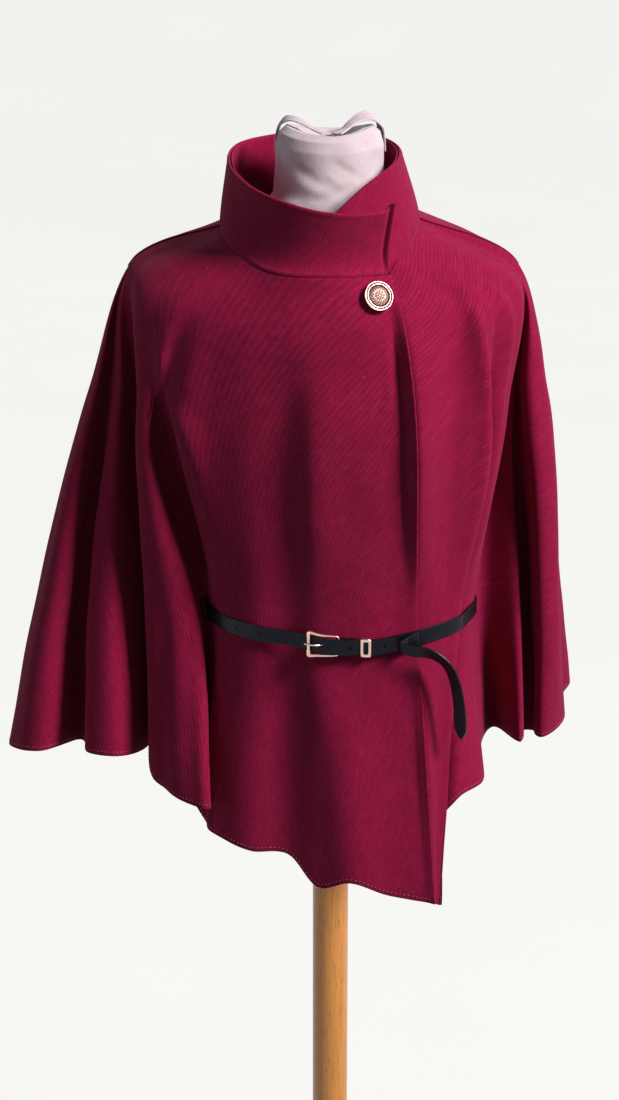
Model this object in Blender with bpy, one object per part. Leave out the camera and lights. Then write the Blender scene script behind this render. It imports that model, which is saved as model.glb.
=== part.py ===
"""A belted wool cape with a wrapped stand collar, on a dress form that stands on a pole and a round base.

Metres, +Z up. The front faces -Y and the wearer's left is at +X. The origin is the middle of the base's
underside, on the pole's axis. Tables are in millimetres and degrees.
"""
import math

import bpy
import numpy as np

MM = 0.001
GAP = 0.3 * MM            # air kept between pieces that touch
UP = np.array((0.0, 0.0, 1.0))

# Cape: one layer of wool twill, and a collar of two layers
WALL = 2.4 * MM
COLLAR_WALL = 5.2 * MM
SEAM_LIFT = 0.45 * MM      # how far the collar's sewn edge stands over the panels

# Belt: one leather strap, a cast buckle and a metal keeper
STRAP_WIDTH = 15 * MM
STRAP_THICK = 1.8 * MM
STRAP_SPACE = 0.6 * MM     # air between the two layers of the belt
HOLE_WIDTH = 3.2 * MM
HEEL_PLACE = 6.5 * MM     # the buckle's bars, measured along the front from its middle
OUTER_PLACE = -22 * MM
HEEL_RADIUS = 1.2 * MM
PRONG_RADIUS = 0.9 * MM
FOLD_RADIUS = HEEL_RADIUS + GAP
HEEL_OUT = STRAP_THICK + FOLD_RADIUS
OUTER_OUT = 6.1 * MM
KEEPER_SPAN = (27 * MM, 38 * MM)     # where the straps run straight through the keeper
KEEPER_PLACE = 31.8 * MM
KEEPER_WALL = 1.2 * MM
KEEPER_WIDTH = 9.6 * MM
KEEPER_BAR = 2.4 * MM
HOLE_PLACES = (-97, -71, -43, 17, 50, 80)
PRONG_HOLE = (-16, -8)

# The buckle's outer bar: height on the belt and radius, from its upper end to the middle
BUCKLE_BAR = ((12.4, 2.0), (11.0, 2.7), (9.6, 2.0), (8.4, 2.5), (7.0, 1.9), (0, 1.8))
# Its arms: place along the front, distance off the cloth, distance outside the strap's edge and radius
BUCKLE_ARMS = ((-17, 5.9, 3.0, 1.7), (-8, 5.2, 2.2, 1.6), (1, 4.2, 1.8, 1.4), (5, 3.6, 1.6, 1.3))
# The prong: turns of its hook round the heel bar, then place along the front and distance off the cloth
PRONG_TURNS = (-70, -20, 30, 80, 130, 170)
PRONG_WAY = ((-1, 3.8), (-6, 3.5), (-9, 3.9), (-12, 5.8), (-15, 7.8), (-19, 9.3), (-22.5, 9.5), (-25.5, 9.0))
PRONG_TIP_SHARE = 0.7
# How far off the cloth the straps lie, by place along the front: the buckle's own end, and the holed end
LOWER_STRAP_WAY = ((8, 4.8), (14, 4.2), (24.5, 2.2), (27, 1.6), (38, 1.6), (50, 0))
UPPER_STRAP_WAY = ((-36, 0), (-21, 2.0), (-8, 5.3))

# Button: place on the front, and its profile of radius and height from the shank's foot to the dome
BUTTON_PLACE = (39.3, 1294)
BUTTON_PROFILE = (
    (0, 0), (3.5, 0), (3.5, 3.0), (11.6, 3.0), (13.4, 4.0), (14.0, 5.0), (13.6, 5.9), (12.6, 6.2), (11.7, 5.6),
    (10.9, 5.7), (10.3, 6.2), (9.6, 5.9), (9.0, 6.3), (7.0, 7.1), (4.0, 7.7), (0, 7.9))

# Stand
POLE_RADIUS = 18.5 * MM
BASE_PROFILE = (           # radius and height of the base, from under its middle up to the pole's collar
    (0, 0), (184, 0), (190, 6), (190, 20), (184, 26), (60, 30), (46, 34), (40, 36))
POLE_FOOT = 10 * MM       # the pole's lower end, inside the base
TORSO_BOTTOM = 0.800
SOCKET_DEPTH = 40 * MM
ROUND_STEPS = 24

# How far the hidden end of the collar, and the panel it is sewn to, lie inside the end that shows
LAP_START = -190
LAP_END = -300
NECK_LAP = 6.4 * MM

# Neckline: where the collar joins the panels, an ellipse that dips at the front
NECK_CENTRE = (-9.5 * MM, -12 * MM)
NECK_HALF = (97.5 * MM, 106 * MM)
NECK_HEIGHTS = (           # angle and height, all the way along the winding strip
    (40, 1312), (20, 1312), (0, 1312.5), (-20, 1312.5), (-34, 1315), (-52, 1325), (-72, 1336), (-90, 1342),
    (-120, 1350), (-150, 1358), (-180, 1363), (-210, 1362), (-240, 1357), (-270, 1349), (-290, 1338),
    (-305, 1325), (-320, 1316), (-340, 1312.5), (-360, 1312))

# Rows down the cape, as fractions from neckline to hem, close together at the belt
ROWS = (0, .045, .09, .14, .19, .245, .30, .36, .42, .485, .55, .61, .655, .705, .75, .80, .865, .93, 1)
SLIT_ROWS = (.655, .705)  # the belt's slits lie between these rows
STATIONS = (0, .14, .36, .70, 1)
STATION_ARRIVE = (1, 1.1, 1, 1, 1)
STATION_LEAVE = (1, .7, 1, 1, 1)
YOKE_FRONT_Z = 1.262
YOKE_SIDE_Z = 1.302
SHOULDER_RISE = 10 * MM    # how much higher the cape lies on the shoulders' ridge and the back
SHOULDER_EDGE = -20 * MM   # where that rise begins, in front of the shoulder
CHEST_Z = 1.180
BELT_Z = 0.965
STEPS = 2                 # columns from one fold line to the next

# Fold lines, in order round the cape from the front edge that shows. Each gives its angle on the neckline
# from the front, its plan place at the yoke, chest, belt and hem, and its own hem height.
FOLD_COLUMNS = ("name", "neck", "yoke_x", "yoke_y", "chest_x", "chest_y", "belt_x", "belt_y",
                "hem_x", "hem_y", "hem_z")
RIGHT_FRONT_FOLDS = (
    ("front_edge", 40, 62, -118, 73, -131, 81, -125, 98, -168, 712),
    ("front_crest_1", 25, 38, -127, 42, -137, 45, -129, 55, -167, 720),
    ("front_dip_1", 9, 12, -130, 10, -136, 12, -127, 18, -165, 733),
    ("front_crest_2", -6, -12, -130, -18, -134, -14, -124, -14, -152, 722),
    ("front_dip_2", -20, -38, -127, -46, -127, -38, -116, -44, -134, 748),
    ("front_crest_3", -33, -68, -119, -80, -120, -73, -109, -80, -132, 750),
    ("slit_edge", -44, -98, -108, -116, -108, -106, -82, -112, -108, 757),
    ("slit_side", -50, -116, -100, -142, -100, -115, -62, -129, -82, 766),
    ("pocket", -55, -130, -94, -160, -79, -124, -46, -144, -64, 785),
    ("flute_1_right", -60, -143, -88, -168, -86, -134, -72, -122, -126, 793),
    ("flute_1_crest", -65, -160, -72, -178, -84, -156, -77, -150, -112, 797),
    ("flute_1_left", -70, -175, -56, -187, -70, -182, -58, -178, -78, 804),
    ("flute_1_side", -74, -183, -40, -181, -40, -182, -28, -183, -42, 822),
    ("deep_fold", -77, -187, -28, -176, -14, -173, 2, -174, -4, 826),
    ("wing_1_right", -80, -189, -22, -190, -16, -190, -22, -189, -32, 818),
    ("wing_1_crest", -83, -190, -16, -205, -30, -217, -52, -214, -76, 828),
    ("wing_1_left", -86, -190, -12, -214, -20, -238, -40, -243, -62, 826),
    ("wing_dip", -88, -190, -9, -219, -4, -250, -4, -257, -2, 816),
    ("wing_2_crest", -90, -190, -5, -230, -20, -274, -36, -290, -54, 825),
    ("wing_2_left", -92, -189, 1, -237, -6, -291, -16, -322, -28, 818),
    ("outline_left", -93, -188, 6, -239, 6, -299, 12, -331, 8, 811),
    ("side_seam", -95, -187, 12, -234, 22, -294, 38, -324, 44, 808),
)
BACK_FOLDS = (
    ("back_crest_1", -105, -178, 36, -212, 52, -264, 84, -290, 98, 804),
    ("back_dip_1", -117, -155, 60, -180, 74, -210, 92, -232, 98, 804),
    ("back_crest_2", -130, -128, 82, -146, 102, -180, 138, -206, 168, 804),
    ("back_dip_2", -143, -92, 98, -104, 112, -122, 130, -140, 144, 806),
    ("back_crest_3", -157, -52, 108, -60, 126, -72, 158, -88, 196, 808),
    ("back_dip_3", -171, -12, 112, -14, 121, -22, 134, -32, 150, 810),
    ("back_crest_4", -185, 26, 112, 26, 127, 18, 158, 10, 200, 812),
    ("back_dip_4", -198, 60, 107, 62, 117, 58, 129, 55, 143, 818),
    ("back_crest_5", -211, 96, 97, 102, 116, 106, 150, 112, 190, 822),
    ("back_dip_5", -224, 128, 80, 132, 98, 134, 118, 136, 132, 830),
    ("back_crest_6", -237, 156, 60, 168, 84, 184, 128, 198, 160, 835),
    ("back_dip_6", -249, 164, 40, 182, 58, 196, 86, 204, 100, 838),
    ("rear_flute", -259, 169, 24, 203, 44, 238, 86, 255, 100, 842),
)
LEFT_FRONT_FOLDS = (
    ("side_seam", -267, 171, 10, 209, 22, 228, 42, 238, 62, 832),
    ("outline_right", -269, 173, 3, 212, 6, 231, 18, 243, 32, 829),
    ("tube_crest", -271, 174, -4, 207, -14, 226, -12, 230, 0, 825),
    ("tube_front", -273, 175, -9, 193, -20, 209, -18, 214, -10, 822),
    ("pinch", -275, 175, -13, 181, 4, 197, 10, 203, 6, 822),
    ("small_crest", -277, 175, -17, 177, -4, 187, -10, 192, -24, 822),
    ("hollow", -280, 176, -22, 166, 4, 154, 8, 169, 28, 818),
    ("flute_2_side", -284, 175, -29, 163, -18, 139, -28, 149, -42, 818),
    ("flute_2_crest", -289, 171, -40, 169, -50, 138, -60, 149, -98, 811),
    ("flute_2_front", -295, 158, -58, 158, -66, 128, -80, 122, -130, 806),
    ("under_pleat", -300, 146, -74, 147, -76, 118, -88, 98, -128, 770),
    ("pleat_edge", -304, 138, -84, 144, -90, 122, -100, 107, -160, 707),
    ("chest_hollow", -311, 112, -98, 112, -114, 104, -114, 103, -163, 709),
)
UNDERLAP_LINES = 2        # fold lines of the right front that the left front runs on beneath
UNDERLAP_SINK = WALL + 0.5 * MM

# The collar's top edge from its outer end, which stands off the neck, to its hidden inner end
COLLAR_TOP = (             # angle, x, y, z
    (40, 57, -93, 1373.5), (31, 44, -103, 1370.5), (20, 26, -112, 1370), (0, -10, -119, 1373),
    (-20, -44.5, -112, 1381), (-40, -75, -89, 1391), (-60, -93, -55, 1401), (-80, -98.5, -19, 1409),
    (-100, -98, 13, 1414),
    (-130, -80, 54, 1419), (-155, -48, 79, 1422), (-180, -13, 87, 1424), (-205, 20, 80, 1423),
    (-230, 48, 57, 1421), (-250, 60, 30, 1418), (-270, 65, -3, 1414), (-290, 60, -36, 1408),
    (-310, 47, -63, 1401), (-330, 26, -80, 1388), (-345, 9, -88, 1374), (-352, 1, -90.5, 1367))
# Up the collar: share of its height, how far it bulges, and its share of the full thickness
COLLAR_SHAPE = ((0, 0, 1), (.2, 1.2, 1), (.45, 1.6, 1), (.7, 1.0, 1), (.9, 0.4, 1), (1, -0.8, .7))
COLLAR_OUTER_END = 40     # degrees, where the end that shows stops
COLLAR_INNER_END = -352   # degrees, where the hidden end stops
COLLAR_STEP = 8

# The belt's way inside the cape: through the wearer's left slit, round the form's back and out at the right
BELT_LEFT_WAY = ((141.6, -52, 977), (141.6, -45, 977.5), (138.5, -36, 978), (135.2, -27.5, 978.5),
                 (130, -18, 979.5), (122.8, -9.5, 982))
BELT_RIGHT_WAY = ((-120.5, -26, 974), (-123.5, -42, 972.5), (-122.5, -54, 972), (-117.5, -66, 972))
BELT_BACK_ANGLES = range(100, 261, 10)
BELT_BACK_HEIGHT = 985 * MM
BELT_BACK_OUT = GAP + STRAP_THICK / 2 + 0.7 * MM
# The belt's middle height at places across the front
BELT_HEIGHTS = ((-130, -60, -10, 41, 90, 140), (972, 968, 963, 962, 971, 978))

# The tail: its middle line from the keeper down, the way its top edge points, and its share of the full width
TAIL_START = 50 * MM
TAIL_POINTS = (
    (64, -139.5, 963.5, 0.00, -0.14, 0.98, 1),
    (78, -141, 961.5, 0.05, -0.40, 0.91, 1),
    (92, -142.5, 960.5, 0.15, -0.65, 0.75, 1),
    (103, -144, 955, 0.35, -0.75, 0.56, 1),
    (112.5, -145, 945, 0.50, -0.80, 0.33, 1),
    (118, -146, 928, 0.60, -0.78, 0.15, 1),
    (120.6, -146, 913, 0.66, -0.74, 0.05, 1),
    (122.4, -145.5, 895, 0.68, -0.73, 0.0, 1),
    (122.8, -145, 884, 0.70, -0.71, 0.0, 1),
    (123.2, -144.6, 879, 0.70, -0.71, 0.0, 0.75),
    (123.8, -144.2, 874, 0.70, -0.71, 0.0, 0.2),
)

# Dress form: sections from its lower end to the neck. The last column lifts a section's sides above its front.
BODY_COLUMNS = ("z", "x", "y", "half_width", "half_depth", "power", "side_rise")
BODY_SECTIONS = (
    (800, 0, 4, 118, 88, 2.2, 0),
    (806, 0, 4, 126, 95, 2.2, 0),
    (840, 0, 3, 135, 104, 2.2, 0),
    (880, 0, 1, 136, 107, 2.2, 0),
    (925, 0, -6, 124, 102, 2.2, 0),
    (965, 0, -11, 114, 96, 2.2, 0),
    (1020, 0, -10, 122, 102, 2.2, 0),
    (1090, -1, -7, 142, 112, 2.2, 0),
    (1150, -2, -5, 156, 118, 2.2, 0),
    (1205, -3, -1, 164, 114, 2.3, 0),
    (1250, -5, 5, 180, 107, 2.4, 0),
    (1278, -6, 3, 188, 102, 2.2, 0),
    (1298, -10, 1, 179, 96, 2.2, 0),
    (1314, -12, 1, 153, 89, 2.1, 0),
    (1328, -11, 6, 122, 83, 2.1, 0),
    (1341, -10, 3, 84, 72, 2, 0),
    (1356, -6, 1, 64, 60, 2, 0),
    (1375, -3, 0, 54, 54, 2, 0),
    (1400, -3, 0, 51.5, 50, 2, 0),
    (1416, -3, 0, 51.5, 49, 2, 4),
    (1426, -3, 0, 48, 46, 2, 6),
    (1431, -3, 0, 41, 39, 2, 7),
    (1430, -3, 0, 31, 29, 2, 5),
    (1426, -3, 0, 20, 19, 2, 3),
    (1424, -3, 0, 10, 10, 2, 1),
)

# Folds of the cover over the neck's top: width, and a route of angle, way out over the rim and lift
NECK_TOP = 1.4235
BANDS = (
    ("neck_fold_left", 11, ((-12, 2.3, 0.8), (-34, 1.7, 3.0), (-62, 1.8, 4.5), (-86, 2.5, 3.8), (-99, 3.4, 1.6),
                            (-105, 4.3, 0.7), (-108, 5.3, 0.6))),
    ("neck_fold_right", 19, ((14, 2.1, 0.5), (34, 1.6, 3.5), (60, 1.7, 6), (86, 2.4, 5.0), (100, 3.4, 2.0),
                             (107, 4.3, 0.8), (110, 5.3, 0.6))),
)
BAND_THICK = 1.5 * MM


def clear_scene():
    for old in list(bpy.data.objects):
        bpy.data.objects.remove(old, do_unlink=True)


def finish(name, colour, roughness, metallic=0.0):
    """A Principled material of one colour."""
    material = bpy.data.materials.new(name)
    material.use_nodes = True
    shader = material.node_tree.nodes["Principled BSDF"]
    shader.inputs["Base Color"].default_value = (*colour, 1)
    shader.inputs["Roughness"].default_value = roughness
    shader.inputs["Metallic"].default_value = metallic
    return material


def add_object(name, points, faces, material, sharp=40):
    """A mesh object, shaded smooth with its sharp edges kept."""
    mesh = bpy.data.meshes.new(name)
    mesh.from_pydata([tuple(map(float, p)) for p in points], [], faces)
    mesh.materials.append(material)
    mesh.shade_smooth()
    mesh.set_sharp_from_angle(angle=math.radians(sharp))
    item = bpy.data.objects.new(name, mesh)
    bpy.context.scene.collection.objects.link(item)
    return item


def unit(vectors):
    return vectors / np.maximum(np.linalg.norm(vectors, axis=-1, keepdims=True), 1e-12)


def spline(points, knots, places, arrive=1.0, leave=1.0):
    """A smooth curve through the points, read at the given places along its knots. Arrive and leave say how
    strongly the curve keeps its direction before and after each point."""
    points, knots = np.asarray(points, float), np.asarray(knots, float)
    step = np.diff(knots)
    slope = np.diff(points, axis=0) / step[:, None]
    tangent = np.empty_like(points)
    tangent[0], tangent[-1] = slope[0], slope[-1]
    before, after = step[:-1, None], step[1:, None]
    tangent[1:-1] = (slope[:-1] * after + slope[1:] * before) / (before + after)
    start = tangent * np.broadcast_to(leave, len(points))[:, None]
    stop = tangent * np.broadcast_to(arrive, len(points))[:, None]
    places = np.asarray(places, float)
    span = np.clip(np.searchsorted(knots, places, side="right") - 1, 0, len(step) - 1)
    width = step[span][:, None]
    t = ((places - knots[span])[:, None]) / width
    value = (2 * t**3 - 3 * t**2 + 1) * points[span] + (t**3 - 2 * t**2 + t) * width * start[span]
    value += (3 * t**2 - 2 * t**3) * points[span + 1] + (t**3 - t**2) * width * stop[span + 1]
    return value


def chord_knots(points):
    """Knots spaced by the root of the distance between neighbours, which keeps tight turns round."""
    steps = np.sqrt(np.linalg.norm(np.diff(points, axis=0), axis=1))
    return np.concatenate(([0], np.cumsum(steps)))


def wall(name, outer, inner, material, closed=False, holes=(), sharp=50):
    """A solid between two grids of points, [row][column]. Cells in holes are left open, with their rims."""
    rows, columns = outer.shape[:2]
    spans = columns if closed else columns - 1
    cells = {(r, c) for r in range(rows - 1) for c in range(spans)} - set(holes)
    number = {}
    points = []

    def vertex(side, r, c):
        key = (side, r, c % columns)
        if key not in number:
            number[key] = len(points)
            points.append((outer, inner)[side][r, c % columns])
        return number[key]

    faces = []
    for r, c in sorted(cells):
        corners = ((r, c), (r, c + 1), (r + 1, c + 1), (r + 1, c))
        faces.append([vertex(0, *corner) for corner in corners])
        faces.append([vertex(1, *corner) for corner in reversed(corners)])
        left, right = c - 1, c + 1
        if closed:
            left, right = left % spans, right % spans
        beside = ((r - 1, c), (r, right), (r + 1, c), (r, left))
        for k, neighbour in enumerate(beside):
            if neighbour not in cells:
                a, b = corners[k], corners[(k + 1) % 4]
                faces.append([vertex(0, *b), vertex(0, *a), vertex(1, *a), vertex(1, *b)])
    return add_object(name, points, faces, material, sharp)


def rings(name, sections, material, sharp=40):
    """A solid skinned over rings of equal length; a ring of one point closes an end."""
    points, faces, starts = [], [], []
    for section in sections:
        starts.append(len(points))
        points.extend(section)
    for k in range(len(sections) - 1):
        low, high = sections[k], sections[k + 1]
        count = max(len(low), len(high))
        for i in range(count):
            j = (i + 1) % count
            if len(low) == 1:
                faces.append([starts[k], starts[k + 1] + j, starts[k + 1] + i])
            elif len(high) == 1:
                faces.append([starts[k] + i, starts[k] + j, starts[k + 1]])
            else:
                faces.append([starts[k] + i, starts[k] + j, starts[k + 1] + j, starts[k + 1] + i])
    return add_object(name, points, faces, material, sharp)


def turned(name, profile, material, centre=(0, 0, 0), axis=(0, 0, 1), sharp=30):
    """A turned solid from its profile of radius and height, bottom to top, round an axis."""
    axis = unit(np.array(axis, float))
    across = unit(np.cross(axis, (0, 0, 1) if abs(axis[2]) < 0.9 else (1, 0, 0)))
    other = np.cross(axis, across)
    centre = np.array(centre, float)
    sections = []
    for radius, height in profile:
        if radius == 0:
            sections.append([centre + axis * height])
            continue
        angles = np.arange(ROUND_STEPS) * 2 * math.pi / ROUND_STEPS
        sections.append([centre + axis * height + radius * (math.cos(a) * across + math.sin(a) * other)
                         for a in angles])
    return rings(name, sections, material, sharp)


def rod(name, route, radii, material, closed=False, sides=8):
    """A round rod along a route, with a radius at each point."""
    route = np.asarray(route, float)
    count = len(route)
    if closed:
        tangent = unit(np.roll(route, -1, axis=0) - np.roll(route, 1, axis=0))
    else:
        tangent = unit(np.gradient(route, axis=0))
    plane = unit(np.linalg.svd(route - route.mean(axis=0))[2][2])
    sections = []
    for k in range(count):
        side = unit(np.cross(tangent[k], plane))
        lift = np.cross(tangent[k], side)
        turn = np.arange(sides) * 2 * math.pi / sides
        sections.append([route[k] + radii[k] * (math.cos(a) * side + math.sin(a) * lift) for a in turn])
    if closed:
        points = [p for section in sections for p in section]
        faces = [[k * sides + i, k * sides + (i + 1) % sides,
                  (k + 1) % count * sides + (i + 1) % sides, (k + 1) % count * sides + i]
                 for k in range(count) for i in range(sides)]
        return add_object(name, points, faces, material)
    return rings(name, [[route[0]], *sections, [route[-1]]], material)


def neck_lap(angle):
    """How far inside the neckline the strip lies at an angle, as it winds in under its own outer end."""
    way = min(1.0, max(0.0, (angle - LAP_START) / (LAP_END - LAP_START)))
    return NECK_LAP * (3 * way**2 - 2 * way**3)


def neck_away(angle):
    """The level direction that points out from the neckline at an angle."""
    turn = math.radians(angle)
    return unit(np.array((math.sin(turn) / NECK_HALF[0], -math.cos(turn) / NECK_HALF[1], 0)))


def winding(table, angle):
    """A row of a table that runs along the winding strip, without its first column, at an angle."""
    rows = np.array(table, float)
    return spline(rows[:, 1:], -rows[:, 0], [-angle])[0]


def neck_point(angle, lift=0.0):
    """A point of the neckline. The angle runs from the front towards the wearer's left."""
    turn = math.radians(angle)
    point = np.array((NECK_CENTRE[0] + NECK_HALF[0] * math.sin(turn),
                      NECK_CENTRE[1] - NECK_HALF[1] * math.cos(turn),
                      winding(NECK_HEIGHTS, angle)[0] * MM + lift))
    return point - neck_away(angle) * neck_lap(angle)


def yoke_height(x, y):
    """Height of the cape where it leaves the form: low on the chest, high at the shoulders and back."""
    side = min(1.0, abs(x) / 190)
    ridge = min(1.0, max(0.0, 1 - y * MM / SHOULDER_EDGE))
    return YOKE_FRONT_Z + (YOKE_SIDE_Z - YOKE_FRONT_Z) * (1 if y > 0 else side * side) + SHOULDER_RISE * ridge


def fold_curve(row):
    """The points of one fold line at every row of the cape."""
    fold = dict(zip(FOLD_COLUMNS, row))
    stations = [
        neck_point(fold["neck"]),
        (fold["yoke_x"] * MM, fold["yoke_y"] * MM, yoke_height(fold["yoke_x"], fold["yoke_y"])),
        (fold["chest_x"] * MM, fold["chest_y"] * MM, CHEST_Z),
        (fold["belt_x"] * MM, fold["belt_y"] * MM, BELT_Z),
        (fold["hem_x"] * MM, fold["hem_y"] * MM, fold["hem_z"] * MM),
    ]
    return spline(stations, STATIONS, ROWS, STATION_ARRIVE, STATION_LEAVE)


def across_folds(curves, steps):
    """The grid [row][column] of a smooth cloth through the fold lines."""
    lines = np.array(curves)
    grid = []
    for r in range(lines.shape[1]):
        knots = chord_knots(lines[:, r])
        places = [knots[i] + (knots[i + 1] - knots[i]) * k / steps
                  for i in range(len(knots) - 1) for k in range(steps)]
        grid.append(spline(lines[:, r], knots, [*places, knots[-1]]))
    return np.array(grid)


def outward(grid):
    """Unit normals of a grid whose columns run round from the front edge and whose rows run down."""
    return unit(np.cross(np.gradient(grid, axis=1), np.gradient(grid, axis=0)))


def cape_grid():
    """Points and normals of the whole cape, and the first column of each panel."""
    right = [fold_curve(row) for row in RIGHT_FRONT_FOLDS]
    back = [fold_curve(row) for row in BACK_FOLDS]
    left = [fold_curve(row) for row in LEFT_FRONT_FOLDS]
    shown = across_folds([*right, *back, *left], STEPS)
    normals = outward(shown)
    under = UNDERLAP_LINES * STEPS + 1
    at_neck = np.clip(1 - np.array(ROWS) / STATIONS[1], 0, 1)[:, None, None]
    sink = UNDERLAP_SINK + (NECK_LAP - UNDERLAP_SINK) * at_neck
    sunk = (shown - normals * sink)[:, :under]
    leads = [*left[-3:], sunk[:, 0], sunk[:, STEPS]]
    bridge = across_folds(leads, STEPS)[:, 2 * STEPS + 1:3 * STEPS]
    grid = np.concatenate((shown, bridge, sunk), axis=1)
    seams = ((len(right) - 1) * STEPS, (len(right) + len(back)) * STEPS)
    return grid, outward(grid), seams


def seam_gap(grid, first, last):
    """Draws a panel's two seam edges in by half the seam's gap."""
    panel = grid.copy()
    if first:
        panel[:, 0] += unit(panel[:, 1] - panel[:, 0]) * GAP / 2
    if last:
        panel[:, -1] += unit(panel[:, -2] - panel[:, -1]) * GAP / 2
    return panel


def body_section(z):
    """The dress form's section at a height below the neck, as (x, y, half width, half depth, power)."""
    table = np.array([row for row in BODY_SECTIONS if row[-1] == 0], float)
    return [float(np.interp(z, table[:, 0] * MM, table[:, k])) for k in range(1, 6)]


def section_point(angle, section, extra=0.0):
    """A point of a form section in plan, extra metres outside it."""
    x, y, half_width, half_depth, power = section[:5]
    turn = math.radians(angle)
    s, c = math.sin(turn), math.cos(turn)
    px = (x + half_width * math.copysign(abs(s) ** (2 / power), s)) * MM
    py = (y - half_depth * math.copysign(abs(c) ** (2 / power), c)) * MM
    away = unit(np.array((s / half_width, -c / half_depth)))
    return np.array((px, py)) + away * extra


def form_point(angle, row):
    """A point of the dress form's skin at an angle on one of its sections."""
    rise = row[-1] * math.sin(math.radians(angle)) ** 2
    return np.array((*section_point(angle, row[1:]), (row[0] + rise) * MM))


def make_cape(wool):
    grid, normals, seams = cape_grid()
    inner = grid - normals * WALL
    lines = {row[0] + side: k * STEPS for k, (side, row) in enumerate(
        [("_r", row) for row in RIGHT_FRONT_FOLDS] + [("_b", row) for row in BACK_FOLDS]
        + [("_l", row) for row in LEFT_FRONT_FOLDS])}
    top, bottom = (ROWS.index(row) for row in SLIT_ROWS)
    pocket = lines["pocket_r"]
    right_slit = {(r, c) for r in range(top, bottom) for c in (pocket - 1, pocket)}
    side = lines["flute_2_side_l"] - seams[1]
    left_slit = {(r, side) for r in range(top, bottom)}
    panels = (("cape_front_right", 0, seams[0], False, True, right_slit),
              ("cape_back", seams[0], seams[1], True, True, ()),
              ("cape_front_left", seams[1], grid.shape[1] - 1, True, False, left_slit))
    for name, first, last, seam_first, seam_last, slit in panels:
        outside = seam_gap(grid[:, first:last + 1], seam_first, seam_last)
        inside = seam_gap(inner[:, first:last + 1], seam_first, seam_last)
        wall(name, outside, inside, wool, holes=slit)
    return grid, normals, lines


def make_collar(wool):
    """One strip of doubled twill that winds once round the neck, its hidden end lying inside the other."""
    count = round((COLLAR_OUTER_END - COLLAR_INNER_END) / COLLAR_STEP)
    angles = np.linspace(COLLAR_OUTER_END, COLLAR_INNER_END, count + 1)
    outer = np.empty((len(COLLAR_SHAPE), len(angles), 3))
    inner = np.empty_like(outer)
    for c, angle in enumerate(angles):
        away = neck_away(angle)
        low = neck_point(angle, SEAM_LIFT)
        high = winding(COLLAR_TOP, angle) * MM
        for r, (share, bulge, thick) in enumerate(COLLAR_SHAPE):
            outer[r, c] = low + (high - low) * share + away * bulge * MM
            inner[r, c] = outer[r, c] - away * COLLAR_WALL * thick
    outer, inner = outer[::-1], inner[::-1]
    wall("collar", outer, inner, wool)


def convex_front(points):
    """The front side of the convex outline round plan points, from the wearer's right to the left."""
    chain = []
    for p in sorted(map(tuple, points)):
        while len(chain) > 1:
            a, b = chain[-2], chain[-1]
            if (b[0] - a[0]) * (p[1] - a[1]) - (b[1] - a[1]) * (p[0] - a[0]) > 0:
                break
            chain.pop()
        chain.append(p)
    return np.array(chain)


def belt_height(x):
    """The belt's middle height at a place across the front."""
    places, heights = BELT_HEIGHTS
    return float(np.interp(x / MM, places, heights)) * MM


class FrontRun:
    """The line on which the belt lies across the front: just outside the cloth, from slit to slit."""

    def __init__(self, grid, lines):
        spots = []
        columns = [*range(lines["front_edge_r"], lines["slit_edge_r"] + 1),
                   *range(lines["flute_2_crest_l"], grid.shape[1] - UNDERLAP_LINES * STEPS)]
        for c in columns:
            column = grid[:, c]
            for dz in (-9 * MM, -4 * MM, 0, 4 * MM, 9 * MM):
                z = belt_height(column[ROWS.index(SLIT_ROWS[1]), 0]) + dz
                order = np.argsort(column[:, 2])
                spots.append([np.interp(z, column[order, 2], column[order, k]) for k in (0, 1)])
        hull = convex_front(spots)
        edge = unit(np.diff(hull, axis=0))
        normal = np.stack((edge[:, 1], -edge[:, 0]), axis=1)
        corner = np.concatenate((normal[:1], unit(normal[:-1] + normal[1:]), normal[-1:]))
        stretch = np.concatenate(([1.0], 1 / np.sum(corner[1:-1] * normal[1:], axis=1), [1.0]))
        self.points = hull + corner * stretch[:, None] * GAP
        self.normals = corner * stretch[:, None]
        self.lengths = np.concatenate(([0], np.cumsum(np.linalg.norm(np.diff(self.points, axis=0), axis=1))))
        self.zero = float(np.interp(0, self.points[:, 0], self.lengths))

    def knots(self, start, end):
        """The run's own corners between two places, measured from the middle of the front."""
        places = self.lengths - self.zero
        return [float(s) for s in places if start < s < end]

    def ends(self):
        return -self.zero, float(self.lengths[-1] - self.zero)

    def at(self, s, out=0.0):
        """Plan point and outward direction at a place along the run, lifted off it by out."""
        place = s + self.zero
        point = np.array([np.interp(place, self.lengths, self.points[:, k]) for k in (0, 1)])
        normal = np.array([np.interp(place, self.lengths, self.normals[:, k]) for k in (0, 1)])
        return point + normal * out, unit(normal)


def strap_wall(name, stations, material, holes=(), closed=False):
    """A strap from its stations of inner point, outward direction and width direction. Three strips wide,
    so that the middle one can be left open at a punched hole."""
    across = (-STRAP_WIDTH / 2, -HOLE_WIDTH / 2, HOLE_WIDTH / 2, STRAP_WIDTH / 2)
    inner = np.array([[point + width * k for point, _, width in stations] for k in across])
    outer = np.array([[point + normal * STRAP_THICK + width * k for point, normal, width in stations]
                      for k in across])
    wall(name, outer, inner, material, closed=closed, holes={(1, c) for c in holes}, sharp=35)


def lower_strap(place):
    """How far off the cloth the buckle's own end of the strap lies, at a place along the front."""
    return float(np.interp(place / MM, *zip(*LOWER_STRAP_WAY))) * MM


def upper_strap(place):
    """How far off the cloth the holed end lies: under the outer bar, over the heel bar, then on the strap."""
    over = lower_strap(place) + STRAP_THICK + STRAP_SPACE
    if place >= LOWER_STRAP_WAY[0][0] * MM:
        return over
    places, heights = zip(*UPPER_STRAP_WAY, (0, over / MM))
    return float(np.interp(place / MM, places, heights)) * MM


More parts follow.
